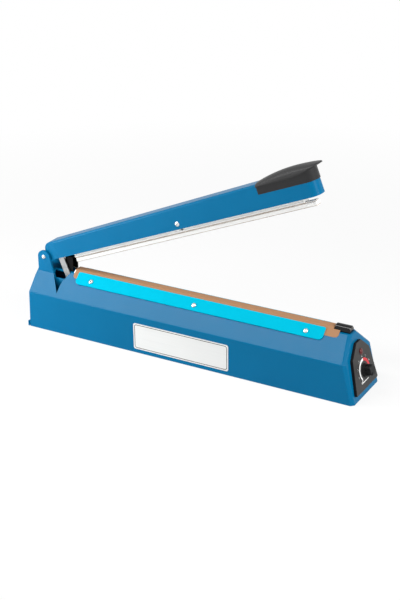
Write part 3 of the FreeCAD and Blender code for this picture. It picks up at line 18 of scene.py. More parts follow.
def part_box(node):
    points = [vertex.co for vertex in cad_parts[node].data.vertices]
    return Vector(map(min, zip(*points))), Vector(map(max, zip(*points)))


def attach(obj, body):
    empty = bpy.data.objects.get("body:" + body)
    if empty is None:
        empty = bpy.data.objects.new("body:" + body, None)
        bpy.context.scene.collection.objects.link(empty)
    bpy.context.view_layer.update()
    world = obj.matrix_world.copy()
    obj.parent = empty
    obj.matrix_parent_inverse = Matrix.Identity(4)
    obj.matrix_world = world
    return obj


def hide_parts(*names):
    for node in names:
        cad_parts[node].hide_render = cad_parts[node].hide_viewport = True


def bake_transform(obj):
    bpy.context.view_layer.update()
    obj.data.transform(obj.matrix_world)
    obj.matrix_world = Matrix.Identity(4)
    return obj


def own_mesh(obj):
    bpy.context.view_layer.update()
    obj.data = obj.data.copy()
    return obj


MM = 0.001
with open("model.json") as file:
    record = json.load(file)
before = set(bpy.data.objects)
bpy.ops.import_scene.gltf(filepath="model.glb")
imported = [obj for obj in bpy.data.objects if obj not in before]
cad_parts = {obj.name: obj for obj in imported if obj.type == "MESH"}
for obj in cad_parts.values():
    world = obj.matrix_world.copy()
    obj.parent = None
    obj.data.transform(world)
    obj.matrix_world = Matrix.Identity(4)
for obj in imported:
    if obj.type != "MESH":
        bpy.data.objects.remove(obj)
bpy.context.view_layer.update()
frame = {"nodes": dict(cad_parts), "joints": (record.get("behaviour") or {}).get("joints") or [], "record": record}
nodes = frame["nodes"]
joints = {joint["name"]: joint for joint in frame["joints"]}

# %% [markdown]
# ## The camera
# A product picture like this one is taken from far off with a long lens, so its edges hardly converge.
# The place and the turn of the camera were worked out from the straight edges of the housing, so here it
# is enough to build the camera's three axes from its bearing, its height angle and its small roll.

# %% Place the camera
IMAGE_HEIGHT = 600
FOCAL_PIXELS = 1322.63
SENSOR_MM = 36.0
FAR_CLIP = 20.0
CAMERA_PLACE = Vector((804.06, -1394.75, 809.93)) * MM
BEARING, HEIGHT_ANGLE, ROLL = (math.radians(angle) for angle in (29.872, 24.441, -0.673))

backward = Vector((math.sin(BEARING) * math.cos(HEIGHT_ANGLE),
                   -math.cos(BEARING) * math.cos(HEIGHT_ANGLE), math.sin(HEIGHT_ANGLE)))
level = Vector((math.cos(BEARING), math.sin(BEARING), 0))
upright = backward.cross(level)
sideways = level * math.cos(ROLL) + upright * math.sin(ROLL)
upward = upright * math.cos(ROLL) - level * math.sin(ROLL)


def frame_matrix(x_axis, y_axis, z_axis, origin):
    """A matrix whose columns are the three axes and the origin."""
    turn = Matrix((x_axis, y_axis, z_axis)).transposed().to_4x4()
    return Matrix.Translation(origin) @ turn


def new_object(name, data):
    """An object with this data, linked to the scene."""
    made = bpy.data.objects.new(name, data)
    bpy.context.scene.collection.objects.link(made)
    return made


lens = bpy.data.cameras.new("camera")
lens.sensor_width = SENSOR_MM
lens.lens = FOCAL_PIXELS * SENSOR_MM / IMAGE_HEIGHT
lens.clip_end = FAR_CLIP
camera = new_object("camera", lens)
camera.matrix_world = frame_matrix(sideways, upward, backward, CAMERA_PLACE)
bpy.context.scene.camera = camera
print("lens", round(lens.lens, 2), "mm, from", [round(v, 3) for v in CAMERA_PLACE])

# %% [markdown]
# ## Shader maths in plain Python
# A material is a little sum: a grain plus a cloud, one minus a mask. Building that from nodes by hand
# hides the sum, so this class wraps a socket and lets Python's own operators add the nodes. Values go
# through Math nodes, vectors through Vector Math and colours through Mix, because a Math node would
# turn a colour grey. Every other node comes from the one method called node.

# %% Wrap a socket
MIX_COLOURS, MIX_RESULT = (6, 7), 2


def plug(socket, value):
    """Link a wire to a socket, or set the socket's own value."""
    if isinstance(value, Wire):
        value.tree.links.new(value.socket, socket)
    elif socket.type == "RGBA":
        socket.default_value = (*value[:3], 1.0)
    elif socket.type == "VECTOR" and isinstance(value, (int, float)):
        socket.default_value = (value, value, value)
    else:
        socket.default_value = value


class Wire:
    """A socket that adds nodes to its tree as it is written into an expression."""

    def __init__(self, tree, socket=None):
        self.tree = tree
        self.socket = socket

    def node(self, kind, settings=None, sockets=None, out=0):
        """Any node: settings first, then values or links for its sockets. out names the output it gives."""
        made = self.tree.nodes.new(kind)
        for name, value in (settings or {}).items():
            setattr(made, name, value)
        for name, value in (sockets or {}).items():
            plug(made.inputs[name], value)
        return made if out is None else Wire(self.tree, made.outputs[out])

    def combine(self, operation, first, second):
        """One sum of two operands, by the kind of node that suits them."""
        kinds = {w.socket.type for w in (first, second) if isinstance(w, Wire)}
        if "RGBA" in kinds:
            setting = {"data_type": "RGBA", "blend_type": operation}
            colours = dict(zip(MIX_COLOURS, (first, second)))
            return self.node("ShaderNodeMix", setting, {0: 1.0, **colours}, MIX_RESULT)
        kind = "ShaderNodeVectorMath" if "VECTOR" in kinds else "ShaderNodeMath"
        return self.node(kind, {"operation": operation}, {0: first, 1: second})

    def __add__(self, other):
        return self.combine("ADD", self, other)

    def __radd__(self, other):
        return self.combine("ADD", other, self)

    def __sub__(self, other):
        return self.combine("SUBTRACT", self, other)

    def __rsub__(self, other):
        return self.combine("SUBTRACT", other, self)

    def __mul__(self, other):
        return self.combine("MULTIPLY", self, other)

    def __rmul__(self, other):
        return self.combine("MULTIPLY", other, self)

    def __truediv__(self, other):
        return self.combine("DIVIDE", self, other)

    def __rtruediv__(self, other):
        return self.combine("DIVIDE", other, self)

    def __gt__(self, other):
        return self.combine("GREATER_THAN", self, other)

    def __lt__(self, other):
        return self.combine("LESS_THAN", self, other)

    def maths(self, operation, second=0.0):
        """A sum that Python has no operator for, of this value and perhaps a second one."""
        return self.node("ShaderNodeMath", {"operation": operation}, {0: self, 1: second})

    def __abs__(self):
        return self.maths("ABSOLUTE")

    def along(self, axis):
        """How far a point lies along an axis."""
        return self.node("ShaderNodeVectorMath", {"operation": "DOT_PRODUCT"}, {0: self, 1: tuple(axis)}, 1)

    def wave(self):
        """The sine of a value, from 0 to 1."""
        return self.maths("SINE") * 0.5 + 0.5

    def ranged(self, low, high):
        """A number from low to high as this value goes from 0 to 1."""
        return self * (high - low) + low

    def noise(self, scale, detail=2.0, rough=0.5):
        """Cloudy noise at this place, scale in clouds per metre, either a number or one for each axis."""
        place = self * scale if isinstance(scale, tuple) else self
        size = 1.0 if isinstance(scale, tuple) else scale
        return self.node("ShaderNodeTexNoise", {},
                         {"Vector": place, "Scale": size, "Detail": detail, "Roughness": rough})

    def between(self, low, high):
        """A colour from low to high as this value goes from 0 to 1."""
        colours = dict(zip(MIX_COLOURS, (low, high)))
        return self.node("ShaderNodeMix", {"data_type": "RGBA"}, {0: self, **colours}, MIX_RESULT)

    def tones(self, colour, low, high=1.0):
        """The shades of one colour, from low to high shares of its light."""
        return self.between(dimmer(colour, low), dimmer(colour, high))

    def bump(self, height, strength=1.0):
        """The normal of a surface that this value lifts by up to height, in metres."""
        return self.node("ShaderNodeBump", {}, {"Strength": strength, "Distance": height, "Height": self})


print("wires have", [name for name in vars(Wire) if not name.startswith("_")])

# %% [markdown]
# ## Starting a finish
# A colour is easiest to name as a screen shows it, but Blender mixes light, so shade turns one into the
# other. Every finish then starts the same way: a Principled shader whose plain sockets hold plain numbers,
# and a wire with the place of each point. Only what changes over the surface is linked to the shader.

# %% Start a finish
def shade(red, green, blue):
    """A colour as a screen shows it, 0 to 255, in the linear light that Blender mixes."""
    return tuple(((c / 255 + 0.055) / 1.055) ** 2.4 if c > 10 else c / 255 / 12.92
                 for c in (red, green, blue))


def dimmer(colour, share):
    """The same colour with a share of its light."""
    return tuple(channel * share for channel in colour)


def new_finish(name, fixed):
    """A material with its shader's fixed sockets set, and the place of each point as a wire."""
    material = bpy.data.materials.new(name)
    material.use_nodes = True
    shader = material.node_tree.nodes["Principled BSDF"]
    for socket, value in fixed.items():
        plug(shader.inputs[socket], value)
    place = Wire(material.node_tree).node("ShaderNodeTexCoord", out="Object")
    return material, shader, place


def wear(shader, **varying):
    """Link what changes over the surface: colour, roughness, normal and coat."""
    names = {"colour": "Base Color", "roughness": "Roughness", "normal": "Normal", "coat": "Coat Weight"}
    for name, wire in varying.items():
        plug(shader.inputs[names[name]], wire)


print("mid grey in linear light", round(shade(128, 128, 128)[0], 3))

# %% [markdown]
# ## Floor and backdrop
# The picture stands on a seamless white sweep under soft boxes. Here the floor is a pale plane that the
# camera sees almost as white paper, while part of its shading stays, so the feet keep their soft shadow.
# The sky behind it is dim as a light and white for the eye.

# %% Lay the floor
FLOOR_HALF = 6.0
PAPER = (0.95, 0.95, 0.95)
PAPER_GLOW = 0.84
CLEAR_FROM, CLEAR_TO = 0.45, 1.1
SKY_LIGHT = 0.17


def seen(tree):
    """1 where the camera, a reflection or clear glass looks, and 0 for other light."""
    camera_ray = Wire(tree).node("ShaderNodeLightPath", out="Is Camera Ray")
    rays = camera_ray.socket.node.outputs
    total = camera_ray + Wire(tree, rays["Is Glossy Ray"]) + Wire(tree, rays["Is Transmission Ray"])
    return total.maths("MINIMUM", 1.0)


def paper_floor():
    """Matt paper that the camera sees partly at full white, and wholly so away from the sealer."""
    material = bpy.data.materials.new("paper_floor")
    material.use_nodes = True
    material.node_tree.nodes.clear()
    looked_at = seen(material.node_tree)
    matt = looked_at.node("ShaderNodeBsdfDiffuse", {}, {"Color": PAPER})
    glow = looked_at.node("ShaderNodeEmission", {}, {"Color": (1, 1, 1), "Strength": 1.0})
    place = looked_at.node("ShaderNodeTexCoord", out="Object")
    away = place.node("ShaderNodeVectorMath", {"operation": "LENGTH"}, {0: place}, 1)
    clear = away.node("ShaderNodeMapRange", {},
                      {"Value": away, "From Min": CLEAR_FROM, "From Max": CLEAR_TO, "To Min": PAPER_GLOW})
    sheet = looked_at.node("ShaderNodeMixShader", {}, {0: looked_at * clear, 1: matt, 2: glow})
    sheet.node("ShaderNodeOutputMaterial", {}, {"Surface": sheet}, None)
    return material


def white_sky():
    """A world that lights softly and looks white."""
    world = bpy.data.worlds.new("white_sky")
    world.use_nodes = True
    background = world.node_tree.nodes["Background"]
    background.inputs["Color"].default_value = (1, 1, 1, 1)
    plug(background.inputs["Strength"], seen(world.node_tree) * (1 - SKY_LIGHT) + SKY_LIGHT)
    bpy.context.scene.world = world


floor_mesh = bpy.data.meshes.new("floor")
floor_corners = [(x * FLOOR_HALF, y * FLOOR_HALF, 0) for x, y in ((-1, -1), (1, -1), (1, 1), (-1, 1))]
floor_mesh.from_pydata(floor_corners, [], [(0, 1, 2, 3)])
floor_mesh.materials.append(paper_floor())
floor = new_object("floor", floor_mesh)
white_sky()
bpy.context.scene.view_settings.view_transform = "Standard"
print("floor", 2 * FLOOR_HALF, "m wide, sky at", SKY_LIGHT)

# %% [markdown]
# ## Soft boxes
# One long soft box hangs above, a little in front and to the left, just where the front slope mirrors it
# into the lens. A small one stands low at the left for the walls, which darken to the right, and one at
# the right lights the end with the panel and the arm's nose. Each is given by its direction from the
# sealer, its distance, its size and the brightness of its face.

# %% Hang the lights
LIT_POINT = Vector((0, 0, 0.1))


def soft_box(name, direction, distance, size, radiance):
    """An area lamp that looks at the sealer, as bright as radiance all over, its first side along X."""
    lamp = bpy.data.lights.new(name, "AREA")
    lamp.shape = "RECTANGLE"
    lamp.size, lamp.size_y = size
    lamp.energy = radiance * math.pi * size[0] * size[1]
    facing = Vector(direction).normalized()
    along = (Vector((1, 0, 0)) - facing * facing.x).normalized()
    matrix = frame_matrix(along, facing.cross(along), facing, facing * distance + LIT_POINT)
    new_object(name, lamp).matrix_world = matrix


soft_box("overhead_box", direction=(-0.45, -0.32, 0.83), distance=1.9, size=(1.5, 0.36), radiance=12.8)
soft_box("left_box", direction=(-1.0, -0.66, 0.2), distance=0.7, size=(0.35, 0.35), radiance=7.6)
soft_box("right_box", direction=(0.86, -0.15, 0.5), distance=1.4, size=(0.6, 0.6), radiance=12.5)

# %% [markdown]
# ## Blue plastic and blue paint
# The housing is one moulding in gloss blue plastic. A mould leaves faint clouds in the gloss and a very
# fine ripple, and nothing else, so its finish is a base colour with two soft noises. The arm, the hinge
# ears and the tray are pressed sheet, sprayed to match: paint lies under a clear skin, ripples more
# coarsely, like orange peel, and gathers a little thicker here and there. The clamp plates are sheet too,
# in bright cyan lacquer that passing bags have rubbed.

# %% Mix the blues
HOUSING_BLUE = shade(0, 103, 147)
ARM_BLUE = shade(0, 107, 153)
CLAMP_CYAN = shade(0, 181, 210)


def moulded_blue():
    """Gloss plastic with faint clouds and a very fine ripple."""
    material, shader, place = new_finish("moulded_blue", {"Specular IOR Level": 0.08})
    cloud, ripple = place.noise(14.0), place.noise(420.0, 1.0)
    wear(shader, colour=cloud.tones(HOUSING_BLUE, 0.93, 1.07), roughness=place.noise(55.0).ranged(0.16, 0.26),
         normal=ripple.bump(0.02 * MM, 0.6))
    return material


def sprayed_blue():
    """Paint with orange peel under a thin clear skin."""
    material, shader, place = new_finish("sprayed_blue", {"Specular IOR Level": 0.08, "Coat Roughness": 0.08})
    cloud, peel = place.noise(22.0), place.noise(300.0, 1.0)
    wear(shader, colour=cloud.tones(ARM_BLUE, 0.92, 1.08), roughness=place.noise(80.0).ranged(0.28, 0.38),
         coat=cloud.ranged(0.01, 0.05), normal=peel.bump(0.03 * MM, 0.6))
    return material


def cyan_film():
    """The clamp plates: bright lacquered sheet, with faint rub marks along the jaw from passing bags."""
    material, shader, place = new_finish("cyan_film", {"Specular IOR Level": 0.01})
    rubs = place.noise((6.0, 900.0, 900.0), 3.0)
    wear(shader, colour=place.noise(30.0).tones(CLAMP_CYAN, 0.95, 1.04), roughness=rubs.ranged(0.42, 0.62),
         normal=rubs.bump(0.004 * MM, 0.4))
    return material


print("housing blue", [round(c, 3) for c in HOUSING_BLUE])

# %% [markdown]
# ## Bare metals
# Screws and pins are bright zinc over steel, brackets are duller zinc with its faint crystals, springs are
# dark oiled wire, and the rail is an aluminium extrusion with die lines along its length. All of them
# are fully metallic, so the light in them is the room: what tells them apart is colour and roughness.

# %% Plate and polish the metals
def plated(name, bright, rough, crystals=260.0):
    """Zinc plate: small crystals, so many to the metre, that differ in brightness and gloss."""
    material, shader, place = new_finish(name, {"Metallic": 1.0})
    grains = place.node("ShaderNodeTexVoronoi", {}, {"Vector": place, "Scale": crystals}, "Color")
    grain = grains.node("ShaderNodeSeparateColor", {}, {0: grains})
    wear(shader, colour=grain.tones(bright, 0.86), roughness=grain.ranged(rough, rough + 0.12),
         normal=place.noise(900.0).bump(0.01 * MM, 0.5))
    return material


def drawn_metal(name, bright, rough, lines):
    """Metal drawn through a die: fine lines along one axis, given as noise scales for X, Y and Z."""
    material, shader, place = new_finish(name, {"Metallic": 1.0})
    streak = place.noise(lines, 3.0)
    wear(shader, colour=streak.tones(bright, 0.82), roughness=streak.ranged(rough, rough + 0.2),
         normal=streak.bump(0.008 * MM, 0.5))
    return material


metals = {
    "screw_zinc": plated("bright_zinc", shade(206, 206, 204), 0.2, 500.0),
    "pin_steel": plated("bright_pin", shade(222, 223, 224), 0.14, 700.0),
    "bracket_zinc": plated("bracket_zinc", shade(176, 178, 178), 0.3),
    "pot_can": plated("pot_can", shade(190, 191, 192), 0.22),
    "spring_steel": drawn_metal("spring_wire", shade(120, 122, 126), 0.26, (400.0, 400.0, 400.0)),
    "rail_aluminium": drawn_metal("rail_aluminium", shade(205, 206, 210), 0.3, (5.0, 1500.0, 1500.0)),
    "element_alloy": drawn_metal("element_ribbon", shade(170, 168, 164), 0.32, (8.0, 1200.0, 1200.0)),
    "core_steel": drawn_metal("core_laminations", shade(96, 97, 101), 0.42, (30.0, 2000.0, 30.0)),
}
print("metals", sorted(metals))

# %% [markdown]
# ## Black and white mouldings
# The handle, knob and hood are black plastic with the fine spark texture of their mould, and the barrel
# on the ridge is polished. The press bar is white enamel on aluminium and carries a silicone strip.
# In the grooves between them, and along the strip's lower edge, thin tan lines of painted shade darken the
# white, by the distance from those lines, measured along the bar's own slide.

# %% Mould the blacks and the whites
def grained(name, colour, rough, grain, height=0.02 * MM, gloss=0.12):
    """Plastic from a spark-eroded mould: a fine even grain, so many to the metre and so high."""
    material, shader, place = new_finish(name, {"Specular IOR Level": gloss})
    spark = place.noise(grain, 2.0, 0.6)
    wear(shader, colour=place.noise(40.0).tones(colour, 0.85, 1.12),
         roughness=spark.ranged(rough, rough + 0.18), normal=spark.bump(height, 0.8))
    return material


def polished_black():
    """Black plastic with a high gloss, a little smeared."""
    material, shader, place = new_finish("polished_black", {"Specular IOR Level": 0.3})
    smear = place.noise((30.0, 120.0, 120.0))
    wear(shader, colour=smear.between(shade(3, 3, 4), shade(8, 8, 9)), roughness=smear.ranged(0.08, 0.16),
         normal=place.noise(500.0).bump(0.006 * MM, 0.4))
    return material


PRESS_SLIDE = Vector(joints["press_bar_float"]["axis"])
HINGE = Vector(joints["arm_hinge"]["pos_m"])
# Painted shade: the tan of thin lines in the grooves between bar and strip and along the strip's lower edge.
SEAM_SHADE_TAN = shade(150, 122, 96)
BAR_SHADE_LINES = [(-13.0 * MM, 0.5 * MM)]
STRIP_SHADE_LINES = [(-14.0 * MM, 0.4 * MM), (-19.6 * MM, 0.4 * MM)]


def jaw_white(name, white, shade_lines, rough):
    """White with painted shade in thin tan lines, given as heights in the arm's frame and half widths."""
    material, shader, place = new_finish(name, {"Specular IOR Level": 0.3})
    height = (place - tuple(HINGE)).along(PRESS_SLIDE)
    colour = place.noise(35.0).tones(white, 0.95)
    for middle, half in shade_lines:
        # painted shade: the white turns tan near each line
        near = abs(height - middle) < half
        colour = (near * place.noise(60.0).ranged(0.45, 0.95)).between(colour, SEAM_SHADE_TAN)
    wear(shader, colour=colour, roughness=place.noise(90.0).ranged(rough, rough + 0.15),
         normal=place.noise(700.0).bump(0.01 * MM, 0.5))
    return material


plastics = {
    "handle_black": grained("handle_black", shade(30, 30, 31), 0.34, 1500.0, gloss=0.33),
    "knob_black": grained("knob_black", shade(22, 22, 23), 0.36, 1800.0),
    "hood_black": grained("hood_black", shade(9, 9, 10), 0.5, 1500.0),
    "device_black": grained("device_black", shade(30, 30, 31), 0.4, 1200.0),
    "foot_rubber": grained("foot_rubber", shade(28, 28, 28), 0.68, 900.0, height=0.05 * MM),
    "barrel_black": polished_black(),
    "bar_white": jaw_white("bar_enamel", shade(252, 251, 248), BAR_SHADE_LINES, 0.3),
    "strip_rubber": jaw_white("strip_silicone", shade(251, 250, 247), STRIP_SHADE_LINES, 0.5),
}
print("plastics", sorted(plastics))

# %% [markdown]
# ## Coated glass cloth
# The heating strip lies under a tan cloth of glass fibre soaked in a slippery resin. Its threads cross
# over and under every half millimetre, and the resin makes the whole satin. The weave is two sine waves
# at right angles, one along the jaw and one across, that take turns to rise.

# %% Weave the cloth
THREAD_PITCH = 0.55 * MM
CLOTH_TAN = shade(175, 131, 96)


def glass_cloth():
    """Tan cloth whose threads take turns to rise, stained in long patches."""
    material, shader, place = new_finish("glass_cloth", {"Specular IOR Level": 0.06})
    turns = 2 * math.pi / THREAD_PITCH
    weft, warp = place.along((turns, 0, 0)).wave(), place.along((0, turns, 0)).wave()
    weave = weft * warp + (1 - weft) * (1 - warp)
    stain = place.noise((18.0, 60.0, 60.0), 3.0)
    tan = stain.tones(CLOTH_TAN, 0.86, 1.1)
    wear(shader, colour=(weave * 0.25).between(tan, dimmer(CLOTH_TAN, 0.7)),
         roughness=stain.ranged(0.32, 0.52) + weave * 0.08, normal=weave.bump(0.03 * MM, 0.6))
    return material


cloths = {"cover_cloth": glass_cloth()}
cloths["tape_cloth"] = cloths["cover_cloth"]
print("threads per centimetre", round(10 * MM / THREAD_PITCH))

# %% [markdown]
# ## The control panel's print
# The dial's scale is printed on the panel: a white band that swells as it turns round the knob, with its
# last part in red, and a bent rule below. Print is flat, so it belongs in the material: each point's
# place is read off along the panel's own axes, which the dial's joint gives, and turned into a radius and
# an angle round the knob.

# %% Print the panel
DIAL_PLACE = Vector(joints["timer_dial"]["pos_m"])
DIAL_OUT = Vector(joints["timer_dial"]["axis"]).normalized()
DIAL_RIGHT = Vector((0, 1, 0))
DIAL_UP = DIAL_OUT.cross(DIAL_RIGHT)
SCALE_START, SCALE_SWEEP = math.radians(225), math.radians(270)
SCALE_STEPS = 8
BAND_RADIUS, BAND_THIN, BAND_SWELL = 12.2 * MM, 1.9 * MM, 3.2 * MM
RED_FROM = 0.52
RULE_UP, RULE_LEFT, RULE_RIGHT, RULE_HALF = -13.5 * MM, -12.5 * MM, 7.0 * MM, 0.55 * MM
LEG_LENGTH, LEG_ANGLE = 5.4 * MM, math.radians(52)
PANEL_FACE = max((v.co - DIAL_PLACE).dot(DIAL_OUT) for v in nodes["control_panel"].data.vertices)
FACE_SKIN = 0.1 * MM


def dial_print():
    """Black panel with white and red print on its front face."""
    material, shader, place = new_finish("panel_print", {"Specular IOR Level": 0.1})
    offset = place - tuple(DIAL_PLACE)
    right, up, out = (offset.along(axis) for axis in (DIAL_RIGHT, DIAL_UP, DIAL_OUT))
    flat = out > PANEL_FACE - FACE_SKIN
    radius = (right * right + up * up).maths("SQRT")
    clockwise = (SCALE_START - up.maths("ARCTAN2", right)).maths("FLOORED_MODULO", 2 * math.pi)
    share = clockwise / SCALE_SWEEP
    on_scale = share < 1.0
    band = (radius > BAND_RADIUS) * (radius < BAND_RADIUS + BAND_THIN + share * BAND_SWELL) * on_scale
    rule = (abs(up - RULE_UP) < RULE_HALF) * (right > RULE_LEFT) * (right < RULE_RIGHT)
    climb = (right - RULE_LEFT) * math.cos(LEG_ANGLE) + (up - RULE_UP) * math.sin(LEG_ANGLE)
    aside = (up - RULE_UP) * math.cos(LEG_ANGLE) - (right - RULE_LEFT) * math.sin(LEG_ANGLE)
    leg = (abs(aside) < RULE_HALF) * (climb > 0.0) * (climb < LEG_LENGTH)
    ink = flat * (band + rule + leg).maths("MINIMUM", 1.0)
    grain = place.noise(1600.0)
    face = place.noise(50.0).between(shade(54, 54, 54), shade(68, 67, 67))
    ground = flat.between(shade(20, 20, 21), face)
    colour = (band * (share > RED_FROM)).between(shade(250, 250, 248), shade(206, 62, 68))
    wear(shader, colour=ink.between(ground, colour), roughness=grain.ranged(0.4, 0.6) - ink * 0.1,
         normal=(grain * (1 - ink)).bump(0.02 * MM, 0.6))
    return material


print("panel face", round(PANEL_FACE / MM, 2), "mm from the dial's centre")

# %% [markdown]
# ## The rating plate
# The plate on the front wall is a silver film with a thin black rounded border. Inside the border it is
# bare, with a soft brushed sheen. The border is a rounded rectangle, drawn as a band of equal distance
# from the plate's own box.

# %% Print the plate
BORDER_INSET, BORDER_WIDTH, BORDER_RADIUS = 2.1 * MM, 0.9 * MM, 3.0 * MM
plate_low, plate_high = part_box("label_plate")


def plate_film():
    """Brushed silver film with a dark border."""
    material, shader, place = new_finish("plate_film", {"Specular IOR Level": 0.4})
    middle = (plate_low + plate_high) / 2
    half = (plate_high - plate_low) / 2 - Vector.Fill(3, BORDER_INSET + BORDER_RADIUS)
    offset = place - tuple(middle)
    beyond = []
    for axis, size in (((1, 0, 0), half.x), ((0, 0, 1), half.z)):
        beyond.append((abs(offset.along(axis)) - size).maths("MAXIMUM", 0.0))
    distance = (beyond[0] * beyond[0] + beyond[1] * beyond[1]).maths("SQRT")
    border = abs(distance - BORDER_RADIUS) < BORDER_WIDTH / 2
    brushed = place.noise((12.0, 1.0, 1400.0), 3.0)
    silver = brushed.between(shade(216, 217, 216), shade(228, 229, 227))
    wear(shader, colour=border.between(silver, shade(46, 36, 32)), roughness=brushed.ranged(0.34, 0.54),
         normal=brushed.bump(0.004 * MM, 0.4))
    return material


print("plate", [round(side / MM, 1) for side in plate_high - plate_low], "mm")

# %% [markdown]
# ## The lamp and the inner parts
# The lamp's lens is a red moulding with fine ribs. Behind the walls sit a transformer, with its winding
# under yellow tape, and a lacquered circuit board. The closed housing hides them, but whoever takes the
# model apart looks at them, so each has a finish of its own, drawn by one wave or one pattern.

# %% Finish the small parts
RIB_PITCH, TAPE_LAP = 0.8 * MM, 6.0 * MM


def red_lens():
    """The lamp's lens is dark when it is off, moulded with fine ribs that scatter its light."""
    material, shader, place = new_finish("red_lens", {"Specular IOR Level": 0.3, "Coat Weight": 0.15,
                                                      "Coat Roughness": 0.05})
    rib = place.along(DIAL_RIGHT * (2 * math.pi / RIB_PITCH)).wave()
    wear(shader, colour=rib.between(shade(66, 4, 7), shade(104, 9, 12)), roughness=rib.ranged(0.15, 0.25),
         normal=rib.bump(0.05 * MM, 0.5))
    return material


def taped_coil():
    """The transformer's winding under layers of yellow tape, whose edges step along it."""
    material, shader, place = new_finish("taped_coil", {"Specular IOR Level": 0.35})
    lap = place.along((0, 0, 2 * math.pi / TAPE_LAP)).wave()
    wear(shader, colour=lap.between(shade(176, 140, 58), shade(206, 172, 84)),
         roughness=place.noise(120.0).ranged(0.4, 0.6), normal=lap.bump(0.1 * MM, 0.5))
    return material


def lacquered_board():
    """The timer board's green lacquer over its copper tracks, which show as paler bands."""
    material, shader, place = new_finish("lacquered_board", {"Specular IOR Level": 0.45})
    tracks = place.node("ShaderNodeTexBrick", {"offset": 0.5},
                        {"Vector": place, "Scale": 130.0, "Mortar Size": 0.06}, "Fac")
    wear(shader, colour=tracks.between(shade(20, 84, 52), shade(48, 120, 74)),
         roughness=tracks.ranged(0.28, 0.38), normal=tracks.bump(0.03 * MM, 0.6))
    return material


print("ribs every", round(RIB_PITCH / MM, 2), "mm, laps every", round(TAPE_LAP / MM, 2), "mm")

# %% [markdown]
# ## A finish for every node
# The packed model names a slot for each node, and a slot is only a name. Here every name is tied to one of
# the finishes. The arm, the hinge ears and the tray wear the same paint, so they share it.

# %% Hand out the finishes
finishes = {**metals, **plastics, **cloths,
            "housing_blue": moulded_blue(), "tray_blue": sprayed_blue(), "clamp_cyan": cyan_film(),
            "panel_black": dial_print(), "label_silver": plate_film(), "lens_red": red_lens(),
            "coil_wound": taped_coil(), "board_green": lacquered_board()}
for painted in ("arm_blue", "ear_blue"):
    finishes[painted] = finishes["tray_blue"]
slot_of = {part["node"]: part["material_slot"] for part in frame["record"]["subparts"]}
for name, part in nodes.items():
    for slot in part.material_slots:
        slot.material = finishes[slot_of[name]]
print(len(finishes), "finishes on", len(nodes), "nodes")

# %% [markdown]
# ## Cross-recessed screws
# A pan-head screw is turned, so its head is a profile swept round its axis, and the driver's cross is
# punched in afterwards. The same two steps work here: a lathe for the head, then a Boolean that takes a
# tapered cross out of it.

# %% Turn the screws
LATHE_STEPS, WELD = 40, 0.001 * MM
HEAD_EDGE, CROWN_STEPS = 0.42, 5
TIP_SHARE, TIP_CHAMFER = 0.7, 0.5 * MM
RECESS_SPAN, RECESS_WIDTH, RECESS_DEPTH = 0.56, 0.15, 0.8
RECESS_SPAN_TAPER, RECESS_WIDTH_TAPER, PUNCH_RISE = 0.45, 0.7, 0.2 * MM
CLAMP_RISE, TRAY_RISE = 1.92 * MM, 1.62 * MM


def lathe(profile):
    """A closed solid of revolution round Z from (radius, height) points that start and end on the axis."""
    shape = bmesh.new()
    rail = [shape.verts.new((radius, 0, height)) for radius, height in profile]
    edges = [shape.edges.new(pair) for pair in zip(rail, rail[1:])]
    bmesh.ops.spin(shape, geom=rail + edges, cent=(0, 0, 0), axis=(0, 0, 1), angle=2 * math.pi,
                   steps=LATHE_STEPS, use_merge=True)
    bmesh.ops.remove_doubles(shape, verts=shape.verts, dist=WELD)
    bmesh.ops.recalc_face_normals(shape, faces=shape.faces)
    return shape


def cross_punch(span, width, depth, top):
    """Two tapered bars that cross at right angles and stand in the top of a head."""
    shape = bmesh.new()
    for turn in (0, math.pi / 2):
        bar = bmesh.ops.create_cube(shape, size=1.0)["verts"]
        for vertex in bar:
            high = vertex.co.z > 0
            vertex.co.x *= span if high else span * RECESS_SPAN_TAPER
            vertex.co.y *= width if high else width * RECESS_WIDTH_TAPER
            vertex.co.z = top + PUNCH_RISE if high else top - depth
        bmesh.ops.rotate(shape, verts=bar, cent=(0, 0, 0), matrix=Matrix.Rotation(turn, 3, "Z"))
    return shape


def mesh_of(name, shape):
    """A mesh from a bmesh, which is used up."""
    mesh = bpy.data.meshes.new(name)
    shape.to_mesh(mesh)
    shape.free()
    return mesh


def as_object(name, shape):
    """A loose object from a bmesh, so that modifiers can work on it."""
    return new_object(name, mesh_of(name, shape))


def baked(maker, *tools):
    """The mesh that an object's modifiers give, with the object and its tools taken away."""
    bpy.context.view_layer.update()
    graph = bpy.context.evaluated_depsgraph_get()
    mesh = bpy.data.meshes.new_from_object(maker.evaluated_get(graph))
    for used in (maker, *tools):
        bpy.data.objects.remove(used)
    return mesh


def pan_screw(head, rise, shank, length):
    """One screw with its head standing on Z = 0 and its shank below."""
    half, neck = head / 2, shank / 2
    crown_turns = [math.pi / 2 * i / CROWN_STEPS for i in range(CROWN_STEPS)]
    crown = [(half * math.cos(turn), rise * (HEAD_EDGE + (1 - HEAD_EDGE) * math.sin(turn)))
             for turn in crown_turns]
    profile = [(0, -length), (neck * TIP_SHARE, -length), (neck, TIP_CHAMFER - length), (neck, 0), (half, 0)]
    turned = as_object("turned_screw", lathe(profile + crown + [(0, rise)]))
    cross = cross_punch(RECESS_SPAN * head, RECESS_WIDTH * head, RECESS_DEPTH * rise, rise)
    punch = as_object("punch", cross)
    cut = turned.modifiers.new("recess", "BOOLEAN")
    cut.operation, cut.solver, cut.object = "DIFFERENCE", "EXACT", punch
    cut.use_self = True
    return baked(turned, punch)


clamp_screw = pan_screw(head=6.4 * MM, rise=CLAMP_RISE, shank=3.0 * MM, length=9.0 * MM)
tray_screw = pan_screw(head=5.4 * MM, rise=TRAY_RISE, shank=3.0 * MM, length=10.0 * MM)
print("screws of", len(clamp_screw.polygons), "and", len(tray_screw.polygons), "faces")

